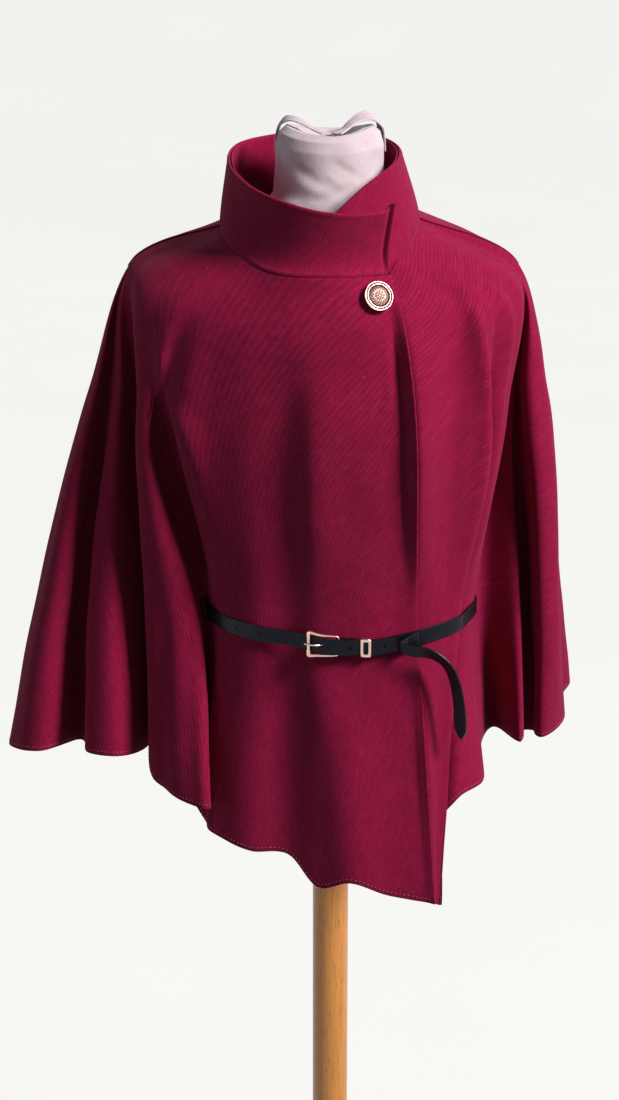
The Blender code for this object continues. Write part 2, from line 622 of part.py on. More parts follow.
def free_stations(middles):
    """Stations of an upright strap whose middle line follows given points. The outward side is on the
    right-hand side of its way."""
    middles = np.asarray(middles, float)
    along = unit(np.gradient(middles, axis=0))
    out = unit(np.cross(along, UP))
    return [(m - n * STRAP_THICK / 2, n, UP) for m, n in zip(middles, out)]


def run_point(run, place, out, lift=0.0):
    """A point in space by its place along the front, its distance off the cloth and its height on the belt."""
    plan, normal = run.at(place, out)
    return np.array((*plan, belt_height(plan[0]) + lift)), np.array((*normal, 0))


def make_belt(grid, lines, leather):
    """One strap: folded round the heel bar, right round the body inside the cape, and back through the buckle."""
    run = FrontRun(grid, lines)
    start, end = run.ends()
    stations, holes = [], []

    for place in (24 * MM, 18 * MM, 14 * MM, HEEL_PLACE + 1 * MM):     # the end that is folded back
        point, normal = run_point(run, place, STRAP_THICK)
        stations.append((point, -normal, UP))
    slot_start = 2
    centre, normal = run_point(run, HEEL_PLACE, HEEL_OUT)
    along = np.cross(UP, normal)
    for turn in (0, 35, 70, 110, 145, 180):
        a = math.radians(turn)
        away = -normal * math.cos(a) - along * math.sin(a)
        stations.append((centre + away * FOLD_RADIUS, away, UP))
    places = sorted({HEEL_PLACE + 1 * MM, 10 * MM, 14 * MM, 19 * MM, 24.5 * MM, 27 * MM, 38 * MM, 44 * MM,
                     50 * MM, *run.knots(52 * MM, end - 1 * MM), end})
    for place in places:
        if place <= 14 * MM:
            slot_end = len(stations)
        stations.append((*run_point(run, place, lower_strap(place)), UP))
    holes.extend(range(slot_start, slot_end))

    section = body_section(BELT_BACK_HEIGHT + STRAP_WIDTH / 2)
    back = []
    for angle in BELT_BACK_ANGLES:
        plan = section_point(angle, section, BELT_BACK_OUT)
        back.append((*plan, BELT_BACK_HEIGHT))
    way = [np.array(p) * MM for p in BELT_LEFT_WAY] + back + [np.array(p) * MM for p in BELT_RIGHT_WAY]
    stations.extend(free_stations(way))

    cuts = [(p - 1.4, p + 1.4) for p in HOLE_PLACES] + [PRONG_HOLE]
    marks = {start, -36 * MM, -28 * MM, -21 * MM, -4 * MM, 0.0, 4 * MM, 8 * MM, 24.5 * MM, 27 * MM,
             38 * MM, 44 * MM, TAIL_START}
    marks |= {edge * MM for cut in cuts for edge in cut}
    marks |= set(run.knots(start + 2 * MM, -38 * MM))
    for place in sorted(marks):
        if any(abs(place / MM - first) < 0.01 for first, _ in cuts):
            holes.append(len(stations))
        stations.append((*run_point(run, place, upper_strap(place)), UP))

    tail = np.array(TAIL_POINTS)
    middle = tail[:, :3] * MM
    along = unit(np.gradient(np.concatenate(([stations[-1][0]], middle)), axis=0))[1:]
    for point, way, row in zip(middle, along, tail):
        width = unit(row[3:6] - way * np.dot(row[3:6], way))
        stations.append((point, unit(np.cross(way, width)), width * row[6]))
    strap_wall("belt_strap", stations, leather, holes)
    return run


def make_buckle(run, metal):
    """A cast frame whose heel bar holds the strap, and a prong hooked on that bar."""
    half = STRAP_WIDTH / 2 + GAP
    route, radii = [], []
    for height, radius in (*BUCKLE_BAR, *((-h, r) for h, r in reversed(BUCKLE_BAR[:-1]))):
        route.append(run_point(run, OUTER_PLACE, OUTER_OUT, height * MM)[0])
        radii.append(radius * MM)
    for sign, order in ((-1, BUCKLE_ARMS), (1, BUCKLE_ARMS[::-1])):
        for place, out, beyond, radius in order:
            route.append(run_point(run, place * MM, out * MM, sign * (half + beyond * MM))[0])
            radii.append(radius * MM)
        if sign < 0:
            for height in (-half, 0, half):
                route.append(run_point(run, HEEL_PLACE, HEEL_OUT, height)[0])
                radii.append(HEEL_RADIUS)
    rod("buckle_frame", route, radii, metal, closed=True)

    hook = HEEL_RADIUS + PRONG_RADIUS + 2 * GAP
    centre, normal = run_point(run, HEEL_PLACE, HEEL_OUT)
    along = np.cross(UP, normal)
    route = []
    for turn in PRONG_TURNS:
        a = math.radians(turn)
        route.append(centre + (along * math.cos(a) + normal * math.sin(a)) * hook)
    for place, out in PRONG_WAY:
        route.append(run_point(run, place * MM, out * MM)[0])
    rod("buckle_prong", route, [PRONG_RADIUS] * (len(route) - 1) + [PRONG_RADIUS * PRONG_TIP_SHARE], metal)


def make_keeper(run, metal):
    """A loop round both straps, with a window in its face."""
    edge = KEEPER_WIDTH / 2
    places = [KEEPER_PLACE + k for k in (-edge, -edge + KEEPER_BAR, edge - KEEPER_BAR, edge)]
    inside = STRAP_WIDTH / 2 + GAP
    outside = inside + KEEPER_WALL
    window = inside - 1.6 * MM
    front = upper_strap(KEEPER_PLACE) + STRAP_THICK + GAP

    def corner(place, out, lift):
        low, high = KEEPER_SPAN
        share = (place - low) / (high - low)
        return run_point(run, low, out, lift)[0] * (1 - share) + run_point(run, high, out, lift)[0] * share

    shape = (((front + KEEPER_WALL, outside), (front, inside)), ((front + KEEPER_WALL, window), (front, window)),
             ((front + KEEPER_WALL, -window), (front, -window)), ((front + KEEPER_WALL, -outside), (front, -inside)),
             ((0, -outside), (KEEPER_WALL, -inside)), ((0, outside), (KEEPER_WALL, inside)))
    outer = [[corner(place, *far) for far, _ in shape] for place in places]
    inner = [[corner(place, *near) for _, near in shape] for place in places]
    wall("belt_keeper", np.array(outer), np.array(inner), metal, closed=True, holes={(1, 1)}, sharp=30)


def make_button(grid, normals, metal):
    """A stamped shank button: a stepped rim round a low dome, standing on its shank."""
    spot = np.array((BUTTON_PLACE[0], 0, BUTTON_PLACE[1])) * MM
    front = grid[:, :6 * STEPS]
    nearest = np.argmin(np.linalg.norm((front - spot)[..., [0, 2]], axis=-1))
    row, column = np.unravel_index(nearest, front.shape[:2])
    corner, normal = grid[row, column], normals[row, column]
    spot[1] = corner[1] - ((spot - corner)[0] * normal[0] + (spot - corner)[2] * normal[2]) / normal[1]
    foot = spot + normal * 2 * GAP
    turned("button", [(r * MM, h * MM) for r, h in BUTTON_PROFILE], metal, foot, normal)


def neck_surface(angle, p):
    """A point of the neck's cover: p runs from the middle of its top out over its rim and down its side."""
    table = np.array(BODY_SECTIONS, float)[::-1]
    row = [float(np.interp(p, range(len(table)), table[:, k])) for k in range(len(BODY_COLUMNS))]
    return form_point(angle, row)


def make_band(name, width, route, material):
    """A flat band of the cover's cloth that lies over the neck's top."""
    points, out = [], []
    for angle, p, lift in route:
        here = neck_surface(angle, p)
        around = neck_surface(angle + 2, p) - neck_surface(angle - 2, p)
        down = neck_surface(angle, p + 0.2) - neck_surface(angle, p - 0.2)
        normal = unit(np.cross(down, around))
        points.append(here + normal * lift * MM)
        out.append(normal)
    knots = chord_knots(np.array(points))
    places = np.linspace(0, knots[-1], 15)
    middle = spline(points, knots, places)
    normal = unit(spline(out, knots, places))
    side = unit(np.cross(normal, np.gradient(middle, axis=0)))
    shares = (-1, -0.4, 0.4, 1)
    crown = (0, 0.9 * MM, 0.9 * MM, 0)
    outer = np.array([middle + side * k * width / 2 + normal * (BAND_THICK + c) for k, c in zip(shares, crown)])
    inner = np.array([middle + side * k * width / 2 + normal * c for k, c in zip(shares, crown)])
    wall(name, outer, inner, material)


def make_form(cotton, beech):
    """A solid torso and neck in a cotton cover, on a pole that is let into the torso and the base."""
    turns = np.arange(ROUND_STEPS) * 360 / ROUND_STEPS
    socket = POLE_RADIUS + GAP
    circle = [(socket * math.sin(math.radians(a)), -socket * math.cos(math.radians(a))) for a in turns]
    sections = [[np.array((0, 0, TORSO_BOTTOM + SOCKET_DEPTH))],
                [np.array((*p, TORSO_BOTTOM + SOCKET_DEPTH)) for p in circle],
                [np.array((*p, TORSO_BOTTOM)) for p in circle]]
    for row in BODY_SECTIONS:
        sections.append([form_point(a, row) for a in turns])
    sections.append([np.array((BODY_SECTIONS[-1][1] * MM, 0, NECK_TOP))])
    rings("form_body", sections, cotton)
    for name, width, route in BANDS:
        make_band(name, width * MM, route, cotton)
    top = TORSO_BOTTOM + SOCKET_DEPTH - GAP
    turned("stand_pole", [(0, POLE_FOOT), (POLE_RADIUS, POLE_FOOT), (POLE_RADIUS, top), (0, top)], beech)
    profile = [(r * MM, h * MM) for r, h in BASE_PROFILE]
    profile += [(socket, profile[-1][1]), (socket, POLE_FOOT - GAP), (0, POLE_FOOT - GAP)]
    turned("stand_base", profile, beech)


def main():
    clear_scene()
    wool = finish("wool_twill", (0.17, 0.01, 0.05), 0.9)
    leather = finish("black_leather", (0.01, 0.01, 0.012), 0.35)
    metal = finish("rose_gold_zinc", (0.86, 0.55, 0.44), 0.25, 1.0)
    cotton = finish("cotton_jersey", (0.78, 0.74, 0.72), 0.85)
    beech = finish("beech", (0.56, 0.28, 0.10), 0.5)
    grid, normals, lines = make_cape(wool)
    make_collar(wool)
    run = make_belt(grid, lines, leather)
    make_buckle(run, metal)
    make_keeper(run, metal)
    make_button(grid, normals, metal)
    make_form(cotton, beech)


main()
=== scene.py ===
"""The finish of every surface of a belted wool cape on its dress form."""
import math

import bmesh
import bpy
import numpy as np
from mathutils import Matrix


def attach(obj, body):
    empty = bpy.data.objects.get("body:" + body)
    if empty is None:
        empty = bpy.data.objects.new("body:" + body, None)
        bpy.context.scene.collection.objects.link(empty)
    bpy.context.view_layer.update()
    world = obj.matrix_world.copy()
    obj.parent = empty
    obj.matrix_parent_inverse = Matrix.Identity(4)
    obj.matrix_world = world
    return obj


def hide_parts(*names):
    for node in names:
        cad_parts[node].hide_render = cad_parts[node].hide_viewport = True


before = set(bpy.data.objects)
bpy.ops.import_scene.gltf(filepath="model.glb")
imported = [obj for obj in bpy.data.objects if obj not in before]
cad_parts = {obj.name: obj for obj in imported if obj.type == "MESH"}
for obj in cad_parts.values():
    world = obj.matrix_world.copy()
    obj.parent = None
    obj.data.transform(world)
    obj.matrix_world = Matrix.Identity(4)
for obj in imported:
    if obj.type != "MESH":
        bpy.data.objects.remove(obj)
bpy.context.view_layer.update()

# The room: a pale floor that sweeps up all round into a plain wall. A wide soft lamp stands at the viewer's
# right like a window, a small one fills from the left, and one behind lights the shoulders.
ROOM_RADIUS, ROOM_BEND, ROOM_HEIGHT = 9.0, 1.6, 9.0
FLOOR_MIDDLE = 1.2
ROOM_STEPS, BEND_STEPS = 72, 12
WALL_GLOW = 0.955
ROLLER_MARKS = 30          # to the metre
AIR_GLOW = 0.10            # light from all round, beside the lamps
LAMPS = (                  # name, place, aimed at, width, watts, colour
    ("window", (2.2, -1.4, 3.2), (0.0, 0.0, 1.1), 0.9, 178, "#FFF4F3"),
    ("fill", (-2.4, -1.6, 1.5), (0.0, 0.0, 1.1), 1.8, 9, "#F2F4FF"),
    ("back", (0.4, 2.4, 2.8), (0.0, 0.0, 1.2), 1.6, 14, "#FFFFFF"),
)
CAMERA_PLACE = (-0.022, -2.1, 1.66)
CAMERA_DOWN = 17.0         # degrees below level
CAMERA_LENS, CAMERA_FILM = 71.87, 36


def linear(hex_colour, alpha=1.0):
    """An sRGB hex colour as linear light."""
    parts = [int(hex_colour[i:i + 2], 16) / 255 for i in (1, 3, 5)]
    return (*[p / 12.92 if p <= 0.04045 else ((p + 0.055) / 1.055) ** 2.4 for p in parts], alpha)


def feed(item, inputs):
    """Sets the inputs of a shader node to plain values, or links them to (node, output)."""
    for name, value in inputs.items():
        if isinstance(value, tuple) and isinstance(value[0], bpy.types.Node):
            item.id_data.links.new(value[0].outputs[value[1]], item.inputs[name])
        else:
            item.inputs[name].default_value = value


def add(material, kind, inputs=None, **properties):
    """Adds a shader node with its properties and inputs."""
    item = material.node_tree.nodes.new("ShaderNode" + kind)
    for name, value in properties.items():
        setattr(item, name, value)
    feed(item, inputs or {})
    return item


def blank(name):
    """A material with its Principled shader, and that shader's node."""
    material = bpy.data.materials.new(name)
    material.use_nodes = True
    return material, material.node_tree.nodes["Principled BSDF"]


def mesh_piece(name, points, faces, material):
    """A smooth-shaded mesh object from points in metres."""
    mesh = bpy.data.meshes.new(name)
    mesh.from_pydata(np.asarray(points, float).tolist(), [], [tuple(map(int, f)) for f in faces])
    mesh.materials.append(material)
    mesh.shade_smooth()
    item = bpy.data.objects.new(name, mesh)
    bpy.context.scene.collection.objects.link(item)
    return item


def tube_faces(rings, around, first=0, lids=True):
    """Faces of a tube whose points lie in rings, with or without a lid at each end."""
    faces = []
    for k in range(first, first + (rings - 1) * around, around):
        for i in range(around):
            j = (i + 1) % around
            faces.append((k + i, k + j, k + around + j, k + around + i))
    if lids:
        faces.append(tuple(range(first, first + around))[::-1])
        faces.append(tuple(range(first + (rings - 1) * around, first + rings * around)))
    return faces


def turned(profile, steps):
    """Points and faces of a form turned round Z, from its profile of radius and height."""
    around = np.arange(steps) * 2 * math.pi / steps
    points = [(r * math.cos(a), r * math.sin(a), h) for r, h in profile for a in around]
    return points, tube_faces(len(profile), steps, lids=False)


def painted_wall():
    """Matt white paint: it glows a little of itself, so that the lamps leave no bright pool on it."""
    material, shader = blank("matt_wall_paint")
    marks = add(material, "TexNoise", {"Scale": ROLLER_MARKS, "Detail": 2.0})
    glow = add(material, "Mix", {"Factor": (marks, "Fac"), "A": linear("#F1F1EF"),
               "B": linear("#F4F4F1")}, data_type="RGBA")
    shade = add(material, "Mix", {"Factor": (marks, "Fac"), "A": linear("#484846"),
                "B": linear("#4C4C4A")}, data_type="RGBA")
    feed(shader, {"Base Color": (shade, "Result"), "Emission Color": (glow, "Result"),
                  "Emission Strength": WALL_GLOW, "Roughness": 0.9})
    return material


bend = [(ROOM_RADIUS - ROOM_BEND + ROOM_BEND * math.sin(a), ROOM_BEND - ROOM_BEND * math.cos(a))
        for a in np.linspace(0, math.pi / 2, BEND_STEPS)]
room_profile = [(0.001, 0), (FLOOR_MIDDLE, 0), *bend, (ROOM_RADIUS, ROOM_HEIGHT)]
room = mesh_piece("room", *turned(room_profile, ROOM_STEPS), painted_wall())
room.visible_diffuse = False

world = bpy.data.worlds.new("room_light")
world.use_nodes = True
world.node_tree.nodes["Background"].inputs["Color"].default_value = linear("#F4F2F5")
world.node_tree.nodes["Background"].inputs["Strength"].default_value = AIR_GLOW
bpy.context.scene.world = world

for name, place, target, width, watts, colour in LAMPS:
    light = bpy.data.lights.new(name, "AREA")
    light.size = width
    light.energy = watts
    light.color = linear(colour)[:3]
    lamp = bpy.data.objects.new(name, light)
    lamp.location = place
    aim = np.array(target) - np.array(place)
    lean = math.atan2(math.hypot(aim[0], aim[1]), -aim[2])
    lamp.rotation_euler = (lean, 0, math.atan2(aim[1], aim[0]) - math.pi / 2)
    lamp.visible_camera = False
    bpy.context.scene.collection.objects.link(lamp)

camera = bpy.data.objects.new("camera", bpy.data.cameras.new("camera"))
camera.location = CAMERA_PLACE
camera.rotation_euler = (math.radians(90 - CAMERA_DOWN), 0, 0)
camera.data.lens = CAMERA_LENS
camera.data.sensor_width = CAMERA_FILM
bpy.context.scene.collection.objects.link(camera)
bpy.context.scene.camera = camera
bpy.context.scene.view_settings.view_transform = "Standard"

# The cape: right front, back and left front of thick wool twill, cut as parts of a circle and seamed at the
# sides. Each table row is one fold line, in order round the body from the front edge that shows, in
# millimetres: its angle on the neckline, its plan place at yoke, chest, belt and hem, and its hem's height.
MM = 0.001
CLOTH = 2.2 * MM
NECK_CENTRE = (-9.5, -12)
NECK_HALF = (97.5, 106)
NECK_HEIGHTS = (
    (40, 1312), (20, 1312), (0, 1312.5), (-20, 1312.5), (-34, 1315), (-52, 1325), (-72, 1336), (-90, 1342),
    (-120, 1350), (-150, 1358), (-180, 1363), (-210, 1362), (-240, 1357), (-270, 1349), (-290, 1338),
    (-305, 1325), (-320, 1316), (-340, 1312.5), (-360, 1312))
LAP_START, LAP_END, NECK_LAP = -190, -300, 6.4
STATIONS = (0, .14, .36, .70, 1)       # how far down the cape neckline, yoke, chest, belt and hem lie
ARRIVE = (1, 1.1, 1, 1, 1)
LEAVE = (1, .7, 1, 1, 1)
ROWS = (0, .045, .09, .14, .19, .245, .30, .36, .42, .485, .55, .61, .655, .705, .75, .80, .865, .93, 1)
SLIT_ROWS = (.655, .705)
CHEST, BELT = 1180, 965
FINE = 8                               # columns from fold line to fold line, and rows from row to row
RIGHT_FRONT = (
    ("front_edge", 40, 62, -118, 73, -131, 81, -125, 98, -168, 712),
    ("front_crest_1", 25, 38, -127, 42, -137, 45, -129, 55, -167, 720),
    ("front_dip_1", 9, 12, -130, 10, -136, 12, -127, 18, -165, 733),
    ("front_crest_2", -6, -12, -130, -18, -134, -14, -124, -14, -152, 722),
    ("front_dip_2", -20, -38, -127, -46, -127, -38, -116, -44, -134, 748),
    ("front_crest_3", -33, -68, -119, -80, -120, -73, -109, -80, -132, 750),
    ("slit_edge", -44, -98, -108, -116, -108, -106, -82, -112, -108, 757),
    ("slit_side", -50, -116, -100, -142, -100, -115, -62, -129, -82, 766),
    ("pocket", -55, -130, -94, -160, -79, -124, -46, -144, -64, 785),
    ("flute_1_right", -60, -143, -88, -168, -86, -134, -72, -122, -126, 793),
    ("flute_1_crest", -65, -160, -72, -178, -84, -156, -77, -150, -112, 797),
    ("flute_1_left", -70, -175, -56, -187, -70, -182, -58, -178, -78, 804),
    ("flute_1_side", -74, -183, -40, -181, -40, -182, -28, -183, -42, 822),
    ("deep_fold", -77, -187, -28, -176, -14, -173, 2, -174, -4, 826),
    ("wing_1_right", -80, -189, -22, -190, -16, -190, -22, -189, -32, 818),
    ("wing_1_crest", -83, -190, -16, -205, -30, -217, -52, -214, -76, 828),
    ("wing_1_left", -86, -190, -12, -214, -20, -238, -40, -243, -62, 826),
    ("wing_dip", -88, -190, -9, -219, -4, -250, -4, -257, -2, 816),
    ("wing_2_crest", -90, -190, -5, -230, -20, -274, -36, -290, -54, 825),
    ("wing_2_left", -92, -189, 1, -237, -6, -291, -16, -322, -28, 818),
    ("outline_left", -93, -188, 6, -239, 6, -299, 12, -331, 8, 811),
    ("side_seam", -95, -187, 12, -234, 22, -294, 38, -324, 44, 808),
)
BACK = (
    ("back_crest_1", -105, -178, 36, -212, 52, -264, 84, -290, 98, 804),
    ("back_dip_1", -117, -155, 60, -180, 74, -210, 92, -232, 98, 804),
    ("back_crest_2", -130, -128, 82, -146, 102, -180, 138, -206, 168, 804),
    ("back_dip_2", -143, -92, 98, -104, 112, -122, 130, -140, 144, 806),
    ("back_crest_3", -157, -52, 108, -60, 126, -72, 158, -88, 196, 808),
    ("back_dip_3", -171, -12, 112, -14, 121, -22, 134, -32, 150, 810),
    ("back_crest_4", -185, 26, 112, 26, 127, 18, 158, 10, 200, 812),
    ("back_dip_4", -198, 60, 107, 62, 117, 58, 129, 55, 143, 818),
    ("back_crest_5", -211, 96, 97, 102, 116, 106, 150, 112, 190, 822),
    ("back_dip_5", -224, 128, 80, 132, 98, 134, 118, 136, 132, 830),
    ("back_crest_6", -237, 156, 60, 168, 84, 184, 128, 198, 160, 835),
    ("back_dip_6", -249, 164, 40, 182, 58, 196, 86, 204, 100, 838),
    ("rear_flute", -259, 169, 24, 203, 44, 238, 86, 255, 100, 842),
)
LEFT_FRONT = (
    ("side_seam", -267, 171, 10, 209, 22, 228, 42, 238, 62, 832),
    ("outline_right", -269, 173, 3, 212, 6, 231, 18, 243, 32, 829),
    ("tube_crest", -271, 174, -4, 207, -14, 226, -12, 230, 0, 825),
    ("tube_front", -273, 175, -9, 193, -20, 209, -18, 214, -10, 822),
    ("pinch", -275, 175, -13, 181, 4, 197, 10, 203, 6, 822),
    ("small_crest", -277, 175, -17, 177, -4, 187, -10, 192, -24, 822),
    ("hollow", -280, 176, -22, 166, 4, 154, 8, 169, 28, 818),
    ("flute_2_side", -284, 175, -29, 163, -18, 139, -28, 149, -42, 818),
    ("flute_2_crest", -289, 171, -40, 169, -50, 138, -60, 149, -98, 811),
    ("flute_2_front", -295, 158, -58, 158, -66, 128, -80, 122, -130, 806),
    ("under_pleat", -300, 146, -74, 147, -76, 118, -88, 98, -128, 770),
    ("pleat_edge", -304, 138, -84, 144, -90, 122, -100, 107, -160, 707),
    ("chest_hollow", -311, 112, -98, 112, -114, 104, -114, 103, -163, 709),
)
YOKE_LOW, YOKE_RISE, YOKE_RIDGE = 1262, 40, 10     # height where the cape leaves the form
YOKE_HALF, YOKE_RIDGE_HALF = 190, 20
UNDERLAP_LINES = 2         # fold lines of the right front that the left front runs on beneath
UNDERLAP_SINK = 2.9        # how deep the left front lies there, under the right front
# Soft creases laid over the folds. Each is a row of points: share of the way down, fold line counted from the
# front edge, how far it stands out (less than 0 is a trough), and how wide it is on the side nearer the front
# edge and on the other, in millimetres.
CREASES = {
    "side_valley": ((.20, 9.9, 0, 12, 22), (.28, 9.7, -5, 12, 22), (.35, 8.9, -9, 13, 22),
        (.42, 8.1, -12, 13, 22), (.54, 7.9, -13, 13, 22), (.63, 7.9, -5, 12, 16), (.66, 7.9, 0, 12, 16)),
    "side_valley_lip": ((.24, 9.2, 0, 12, 7), (.30, 8.4, 3, 14, 7), (.35, 7.5, 4, 16, 7),
        (.40, 6.9, 4, 18, 8), (.485, 6.4, 4, 18, 8), (.58, 6.1, 3, 18, 8), (.65, 6.2, 0, 14, 8)),
    "belt_corner": ((.72, 6.6, 0, 12, 6), (.78, 6.6, 3, 14, 6), (.90, 6.5, 4, 14, 6), (1, 6.4, 4, 14, 6)),
    "front_valley": ((.18, 4.1, 0, 16, 30), (.30, 4.1, -2, 16, 30), (.45, 4.1, -3, 17, 32),
        (.58, 4.2, -3.5, 18, 30), (.66, 4.25, -4.5, 20, 28), (.72, 4.3, -6, 22, 28), (.80, 4.4, -7, 28, 30),
        (.90, 4.5, -6, 32, 30), (1, 4.6, -4, 34, 30)),
    "front_swell": ((.24, 3.0, 0, 30, 15), (.38, 2.95, 5, 30, 15), (.54, 3.0, 5, 30, 15),
        (.635, 3.0, 1, 30, 15), (.66, 3.0, 0, 30, 15), (.71, 3.0, 0, 24, 14), (.78, 2.7, 4, 26, 20),
        (.87, 2.2, 5, 28, 24), (1, 1.9, 3, 28, 28)),
    "edge_trough": ((.10, .9, 0, 18, 26), (.25, .8, -3, 15, 26), (.45, .65, -4.5, 13, 26),
        (.60, .6, -4.5, 13, 26), (.68, .6, -2.5, 13, 24), (.80, .6, -2.2, 13, 26), (1, .6, -1.6, 13, 26)),
    "edge_roll": ((.03, .02, 0, 4, 3.4), (.07, .02, 2.6, 4, 3.4), (.6, .02, 3.0, 4, 3.4),
        (.66, .02, .2, 4, 4), (.71, .02, .2, 4, 4), (.76, .02, 3.0, 4, 3.4), (1, .02, 3.0, 4, 3.4)),
    "edge_seam": ((.05, .26, 0, 3, 6), (.12, .24, -1.8, 3, 6), (.60, .20, -1.8, 3, 6), (.66, .20, -.2, 3, 5),
        (.71, .20, -.2, 3, 5), (.78, .18, -1.2, 3, 6), (1, .17, -1.2, 3, 6)),
    "flute_1_face": ((.60, 10.4, 0, 14, 14), (.72, 10.4, -4, 14, 14), (.85, 10.6, -6, 14, 14),
        (1, 10.6, -4, 14, 14)),
    "flute_1_lip": ((.66, 8.9, 0, 9, 8), (.75, 8.9, 4, 9, 8), (.9, 9.0, 5, 9, 8), (1, 9.0, 4, 9, 8)),
    "wing_valley": ((.22, 15.6, 0, 12, 10), (.38, 16.2, -3, 12, 10), (.55, 16.9, -4, 14, 12),
        (.75, 16.8, -4, 14, 12), (1, 16.5, -3, 14, 12)),
    "wing_ridge": ((.35, 18.3, 0, 14, 16), (.55, 18.4, 4, 14, 16), (.8, 18.5, 5, 14, 18),
        (1, 18.5, 3, 14, 18)),
    "chest_hollow": ((.05, 46.4, 0, 14, 14), (.10, 46.6, -4, 14, 14), (.20, 47, -6, 13, 14),
        (.34, 46.9, -6, 12, 16), (.50, 46.9, -5, 12, 16), (.60, 46.9, -3, 12, 16), (.67, 46.9, 0, 12, 16),
        (.8, 46.8, -3, 12, 14), (1, 46.7, -3, 12, 14)),
    "pleat_ridge": ((.11, 46.4, 0, 5, 8), (.20, 46.4, 6, 5, 8), (.36, 46.1, 9, 5, 8), (.52, 46.0, 8, 5, 8),
        (.62, 46.0, 2, 5, 9), (.66, 46.0, 0, 5, 9)),
    "pleat_groove": ((.18, 45.4, 0, 5, 5), (.28, 45.3, -5, 5, 5), (.45, 45.2, -6, 5, 5),
        (.58, 45.2, -4, 5, 5), (.64, 45.2, 0, 5, 5)),
    "side_fold_lip": ((.10, 44.4, 0, 7, 12), (.18, 44.2, 5, 6, 12), (.36, 44.0, 5, 6, 12),
        (.55, 43.9, 4, 6, 12), (.64, 43.9, 0, 7, 12)),
    "tube_pinch": ((.30, 40.4, 0, 8, 8), (.42, 39.9, -4, 8, 8), (.55, 39.3, -8, 7, 9),
        (.70, 39.2, -11, 7, 9), (.88, 39.1, -10, 8, 9), (1, 39.1, -6, 8, 9)),
    "tube_front": ((.22, 38.4, 0, 10, 6), (.36, 38.3, 5, 12, 6), (.52, 38.0, 5, 12, 6),
        (.75, 37.9, 3, 12, 6), (1, 37.9, 1, 12, 6)),
    "back_fold_1": ((.20, 23.4, 0, 18, 24), (.45, 23.4, -6, 18, 24), (.75, 23.3, -9, 20, 26),
        (1, 23.2, -7, 20, 26)),
    "back_fold_2": ((.16, 25.6, 0, 20, 14), (.40, 25.3, -5, 20, 14), (.64, 25.2, -6, 22, 16),
        (1, 25.0, -9, 24, 18)),
    "back_fold_3": ((.28, 27.5, 0, 14, 22), (.55, 27.4, -5, 16, 22), (.85, 27.2, -8, 18, 24),
        (1, 27.2, -6, 18, 24)),
    "back_fold_4": ((.12, 29.2, 0, 22, 16), (.33, 29.1, -4, 22, 16), (.62, 29.3, -7, 22, 18),
        (1, 29.4, -8, 24, 18)),
    "back_fold_5": ((.24, 31.5, 0, 14, 20), (.50, 31.4, -7, 14, 20), (.80, 31.2, -8, 16, 22),
        (1, 31.2, -5, 16, 22)),
    "back_swell": ((.30, 26.3, 0, 16, 10), (.50, 26.2, 3, 16, 10), (.80, 26.2, 4, 18, 12),
        (1, 26.1, 3, 18, 12)),
    "back_swell_2": ((.34, 30.3, 0, 12, 16), (.60, 30.3, 3, 12, 16), (.85, 30.2, 4, 14, 18),
        (1, 30.2, 3, 14, 18)),
}
RIPPLE = 0.5               # how far the cloth wanders from smooth, in millimetres
RIPPLE_WAVES = (           # waves to the metre along X, Y and Z, and where each starts
    ((17, 9, 7), 0.4), ((-12, 14, 10), 2.1), ((8, -19, 5), 4.0), ((25, 6, -12), 5.2))
SEAM_BACK = 1.12 * MM      # how far each panel stops short of the seam line, with its edge rounded over
RIB = 3.3                  # from rib to rib of the twill in millimetres, coarser than real so that it shows
WAVE = 2 * math.pi / 20    # one wave of the texture is a twentieth of a full turn at scale 1
RIB_LEAN = -33             # how far the ribs lean from the straight grain, in degrees
FUZZ, SPECKS, CLOUDS = 900, 700, 24    # fibres, pale hairs and uneven patches of colour, to the metre
FLAT_NECK = 0.10           # radius of the neckline in the flat cut, in metres
EDGE_TURNS = (45, 90, 135)     # where the round of a cloth's edge has its points, in degrees


def unit(vectors):
    """The vectors at a length of one."""
    return vectors / np.maximum(np.linalg.norm(vectors, axis=-1, keepdims=True), 1e-12)


def run_along(points, axis=0):
    """How far along its path each point lies."""
    steps = np.linalg.norm(np.diff(points, axis=axis), axis=-1)
    return np.insert(np.cumsum(steps, axis=axis), 0, 0, axis=axis)


def spline(points, knots, places, arrive=1.0, leave=1.0):
    """A smooth curve through the points, read at the given places along its knots. Arrive and leave say how
    strongly the curve keeps its direction before and after each point."""
    points, knots = np.asarray(points, float), np.asarray(knots, float)
    step = np.diff(knots)
    slope = np.diff(points, axis=0) / step[:, None]
    tangent = np.empty_like(points)
    tangent[0], tangent[-1] = slope[0], slope[-1]
    before, after = step[:-1, None], step[1:, None]
    tangent[1:-1] = (slope[:-1] * after + slope[1:] * before) / (before + after)
    start = tangent * np.broadcast_to(leave, len(points))[:, None]
    stop = tangent * np.broadcast_to(arrive, len(points))[:, None]
    places = np.asarray(places, float)
    span = np.clip(np.searchsorted(knots, places, side="right") - 1, 0, len(step) - 1)
    width = step[span][:, None]
    t = ((places - knots[span])[:, None]) / width
    value = (2 * t**3 - 3 * t**2 + 1) * points[span] + (t**3 - 2 * t**2 + t) * width * start[span]
    value += (3 * t**2 - 2 * t**3) * points[span + 1] + (t**3 - t**2) * width * stop[span + 1]
    return value


def neck_away(angle):
    """The level direction that points out from the neckline."""
    turn = math.radians(angle)
    return unit(np.array((math.sin(turn) / NECK_HALF[0], -math.cos(turn) / NECK_HALF[1], 0)))


def winding(table, angle):
    """A table along the winding neckline, read at an angle."""
    rows = np.array(table, float)
    return spline(rows[:, 1:], -rows[:, 0], [-angle])[0]


